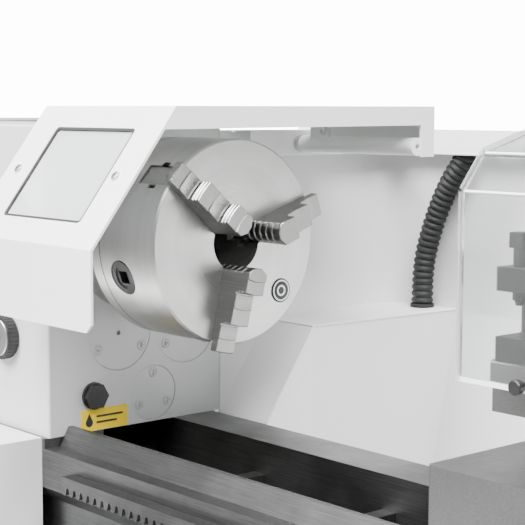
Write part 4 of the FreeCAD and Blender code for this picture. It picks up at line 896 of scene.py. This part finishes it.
def make_stage():
    bm = bmesh.new()
    reach = FLOOR_REACH_M
    square = ((-reach, -reach), (reach, -reach), (reach, reach), (-reach, reach))
    bm.faces.new([bm.verts.new((x, y, 0.0)) for x, y in square])
    data = bpy.data.meshes.new("floor")
    bm.to_mesh(data)
    bm.free()
    floor = bpy.data.objects.new("floor", data)
    bpy.context.scene.collection.objects.link(floor)
    material, tree, shader = new_material("floor_pale")
    tone = spread(tree, noise(tree, object_coords(tree), 1.5, 4.0), 0.0, 1.0)
    colour = blend_colours(tree, tone, (0.86, 0.86, 0.85), (0.82, 0.82, 0.81))
    tree.links.new(colour, shader.inputs["Base Color"])
    shader.inputs["Roughness"].default_value = 0.8
    data.materials.append(material)


def make_lights():
    world = bpy.data.worlds.new("studio")
    bpy.context.scene.world = world
    world.use_nodes = True
    tree = world.node_tree
    tree.nodes["Background"].inputs[0].default_value = (1.0, 1.0, 1.0, 1)
    path = add(tree, "ShaderNodeLightPath")
    strength = spread(tree, path.outputs["Is Camera Ray"], WORLD_LIGHT, WORLD_SEEN, 0.0, 1.0)
    tree.links.new(strength, tree.nodes["Background"].inputs[1])
    for name, place, size, power, target in LIGHTS:
        data = bpy.data.lights.new(name, "AREA")
        data.shape = "RECTANGLE"
        data.size, data.size_y = size
        data.energy = power
        light = bpy.data.objects.new(name, data)
        bpy.context.scene.collection.objects.link(light)
        light.location = spot(*place)
        aim = spot(*target) - light.location
        light.rotation_euler = aim.to_track_quat("-Z", "Y").to_euler()


def make_camera():
    yaw, pitch, roll = (math.radians(angle) for angle in (CAMERA_YAW, CAMERA_PITCH, CAMERA_ROLL))
    level = math.cos(pitch)
    ahead = Vector((-math.cos(yaw) * level, math.sin(yaw) * level, -math.sin(pitch)))
    right = ahead.cross(Vector((0, 0, 1))).normalized()
    up = right.cross(ahead)
    rolled_right = right * math.cos(roll) + up * math.sin(roll)
    rolled_up = up * math.cos(roll) - right * math.sin(roll)
    data = bpy.data.cameras.new("camera")
    data.lens = CAMERA_LENS
    data.sensor_width = SENSOR_WIDTH
    data.clip_start = 0.02
    camera = bpy.data.objects.new("camera", data)
    bpy.context.scene.collection.objects.link(camera)
    matrix = Matrix((rolled_right, rolled_up, -ahead)).transposed().to_4x4()
    matrix.translation = spot(*CAMERA_PLACE)
    camera.matrix_world = matrix
    bpy.context.scene.camera = camera


make_camera()
finish_cad_nodes()
make_conduit()
make_jaws()
make_chuck_details()
make_key_socket()
make_guard_details()
make_splash_details()
make_oil_label()
make_dial()
make_tool_guard_details()
make_leadscrew()
make_motor_details()
make_panel_details()
make_cabinet_vents()
make_stage()
make_lights()
